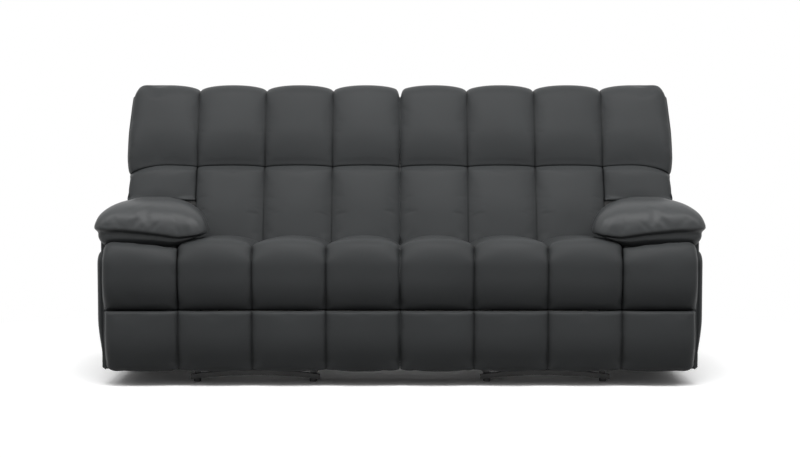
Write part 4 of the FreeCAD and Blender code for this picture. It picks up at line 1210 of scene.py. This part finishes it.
def floor_material():
    """White with the object's shadow near it, plain white far off, and dim to other rays."""
    material = bpy.data.materials.new("white_floor")
    material.use_nodes = True
    nodes, links = material.node_tree.nodes, material.node_tree.links
    nodes.clear()
    near = add_node(nodes, "ShaderNodeBsdfDiffuse", Color=grey(FLOOR_NEAR))
    glow = add_node(nodes, "ShaderNodeEmission", Color=grey(1.0), Strength=FLOOR_GLOW)
    far = add_node(nodes, "ShaderNodeEmission", Color=grey(1.0), Strength=1.0)
    dim = add_node(nodes, "ShaderNodeBsdfDiffuse", Color=grey(FLOOR_DIM))
    place = nodes.new("ShaderNodeTexCoord")
    scale = (1 / SHADOW_HALF_X, 1 / SHADOW_HALF_Y, 0.0)
    squeeze = add_node(nodes, "ShaderNodeMapping", Scale=scale)
    distance = add_node(nodes, "ShaderNodeVectorMath", operation="LENGTH")
    fade = add_node(nodes, "ShaderNodeMapRange", From_Min=FADE_START, From_Max=FADE_END)
    lifted = nodes.new("ShaderNodeAddShader")
    shown = nodes.new("ShaderNodeMixShader")
    pick = nodes.new("ShaderNodeMixShader")
    out = nodes.new("ShaderNodeOutputMaterial")
    links.new(near.outputs[0], lifted.inputs[0])
    links.new(glow.outputs[0], lifted.inputs[1])
    links.new(place.outputs["Object"], squeeze.inputs["Vector"])
    links.new(squeeze.outputs["Vector"], distance.inputs[0])
    links.new(distance.outputs["Value"], fade.inputs["Value"])
    links.new(fade.outputs["Result"], shown.inputs[0])
    links.new(lifted.outputs[0], shown.inputs[1])
    links.new(far.outputs[0], shown.inputs[2])
    links.new(background_ray(nodes, links), pick.inputs[0])
    links.new(dim.outputs[0], pick.inputs[1])
    links.new(shown.outputs[0], pick.inputs[2])
    links.new(pick.outputs[0], out.inputs["Surface"])
    return material


def make_floor():
    """A wide white floor."""
    mesh = bpy.data.meshes.new("floor")
    reach = FLOOR_REACH
    corners = [(-reach, -reach, 0), (reach, -reach, 0), (reach, reach, 0), (-reach, reach, 0)]
    mesh.from_pydata(corners, [], [(0, 1, 2, 3)])
    mesh.materials.append(floor_material())
    floor = bpy.data.objects.new("floor", mesh)
    scene.collection.objects.link(floor)


def make_world():
    """Soft light that grows from the horizon up, and a white background."""
    world = bpy.data.worlds.new("studio")
    scene.world = world
    world.use_nodes = True
    nodes, links = world.node_tree.nodes, world.node_tree.links
    nodes.clear()
    place = nodes.new("ShaderNodeTexCoord")
    split = nodes.new("ShaderNodeSeparateXYZ")
    lift = add_node(nodes, "ShaderNodeMapRange", From_Min=-1.0, From_Max=1.0)
    ramp = nodes.new("ShaderNodeValToRGB")
    for element, (position, value) in zip(ramp.color_ramp.elements, (SKY[0], SKY[-1])):
        element.position = position
        element.color = grey(value)
    for position, value in SKY[1:-1]:
        element = ramp.color_ramp.elements.new(position)
        element.color = grey(value)
    sky = add_node(nodes, "ShaderNodeBackground", Strength=1.0)
    white = add_node(nodes, "ShaderNodeBackground", Color=grey(1.0), Strength=1.0)
    pick = nodes.new("ShaderNodeMixShader")
    out = nodes.new("ShaderNodeOutputWorld")
    links.new(place.outputs["Generated"], split.inputs[0])
    links.new(split.outputs["Z"], lift.inputs["Value"])
    links.new(lift.outputs["Result"], ramp.inputs["Fac"])
    links.new(ramp.outputs["Color"], sky.inputs["Color"])
    links.new(background_ray(nodes, links), pick.inputs[0])
    links.new(sky.outputs[0], pick.inputs[1])
    links.new(white.outputs[0], pick.inputs[2])
    links.new(pick.outputs[0], out.inputs["Surface"])


def make_lamps():
    """Soft rectangular lamps, each turned towards its aim."""
    for name, place, aim, size, watts in LAMPS:
        light = bpy.data.lights.new(name, "AREA")
        light.shape = "RECTANGLE"
        light.size, light.size_y = size
        light.energy = watts
        lamp = bpy.data.objects.new(name, light)
        scene.collection.objects.link(lamp)
        lamp.location = place
        way = np.array(aim, float) - np.array(place, float)
        pan = math.atan2(-way[0], way[1])
        tip = math.atan2(math.hypot(way[0], way[1]), -way[2])
        lamp.rotation_euler = (tip, 0, pan)


def make_camera():
    """The camera, at the photograph's viewing angle."""
    data = bpy.data.cameras.new("camera")
    data.lens = CAMERA_FOCAL
    data.sensor_width = CAMERA_SENSOR
    camera = bpy.data.objects.new("camera", data)
    scene.collection.objects.link(camera)
    camera.location = CAMERA_PLACE
    camera.rotation_euler = (math.radians(90.0 - CAMERA_PITCH), 0, 0)
    scene.camera = camera


make_floor()
make_world()
make_lamps()
make_camera()
scene.view_settings.view_transform = "Standard"
dress_cad_nodes()

# Cushions: how each is made, its cap on swelling in metres, its body, its CAD node, its filling
CUSHIONS = [
    (seat_piece, 0.008, "seat", "seat_cushion", 0.8),
    (footrest_piece, 0.007, "footrest", "footrest_pad", 0.8),
    (back_piece, 0.009, "back", "back_cushion", 0.75),
]
for make, cap, body, node, fill in CUSHIONS:
    cushion = make()
    inflate(cushion, cap, CUSHION_GROWTH)
    subdivide(cushion)
    keep_apart(cushion)
    # The 'seam' attribute paints shade into the column seams' valleys.
    set_attribute(cushion, "seam", seam_shade_mark(coordinates(cushion), COLUMN_EDGES[1:]))
    finish_pair(cushion, LEATHER, body, node)

pillow = pillow_piece()
inflate(pillow, 0.008, PILLOW_GROWTH)
subdivide(pillow)
place_vertices(pillow, crease(coordinates(pillow), vertex_normals(pillow), PILLOW_FOLDS))
# The pillow's 'seam' attribute paints shade along the welt's crease.
set_attribute(pillow, "seam", welt_shade_mark(coordinates(pillow)))
finish_pair(pillow, SMOOTH_LEATHER, "frame", "arm_pad")

arm_box = arm_box_piece()
subdivide(arm_box)
finish_pair(arm_box, LEATHER, "frame", "arm_cover")

side_pad = side_pad_piece()
subdivide(side_pad)
cut_hole(side_pad)
finish_pair(side_pad, LEATHER, "frame", "arm_side_pad")

shell = shell_piece()
subdivide(shell)
keep_apart(shell)
finish_pair(shell, LEATHER, "back", "back_shell")

valance = valance_piece()
subdivide(valance)
take_place(valance, LEATHER, "frame", "valance_cover")
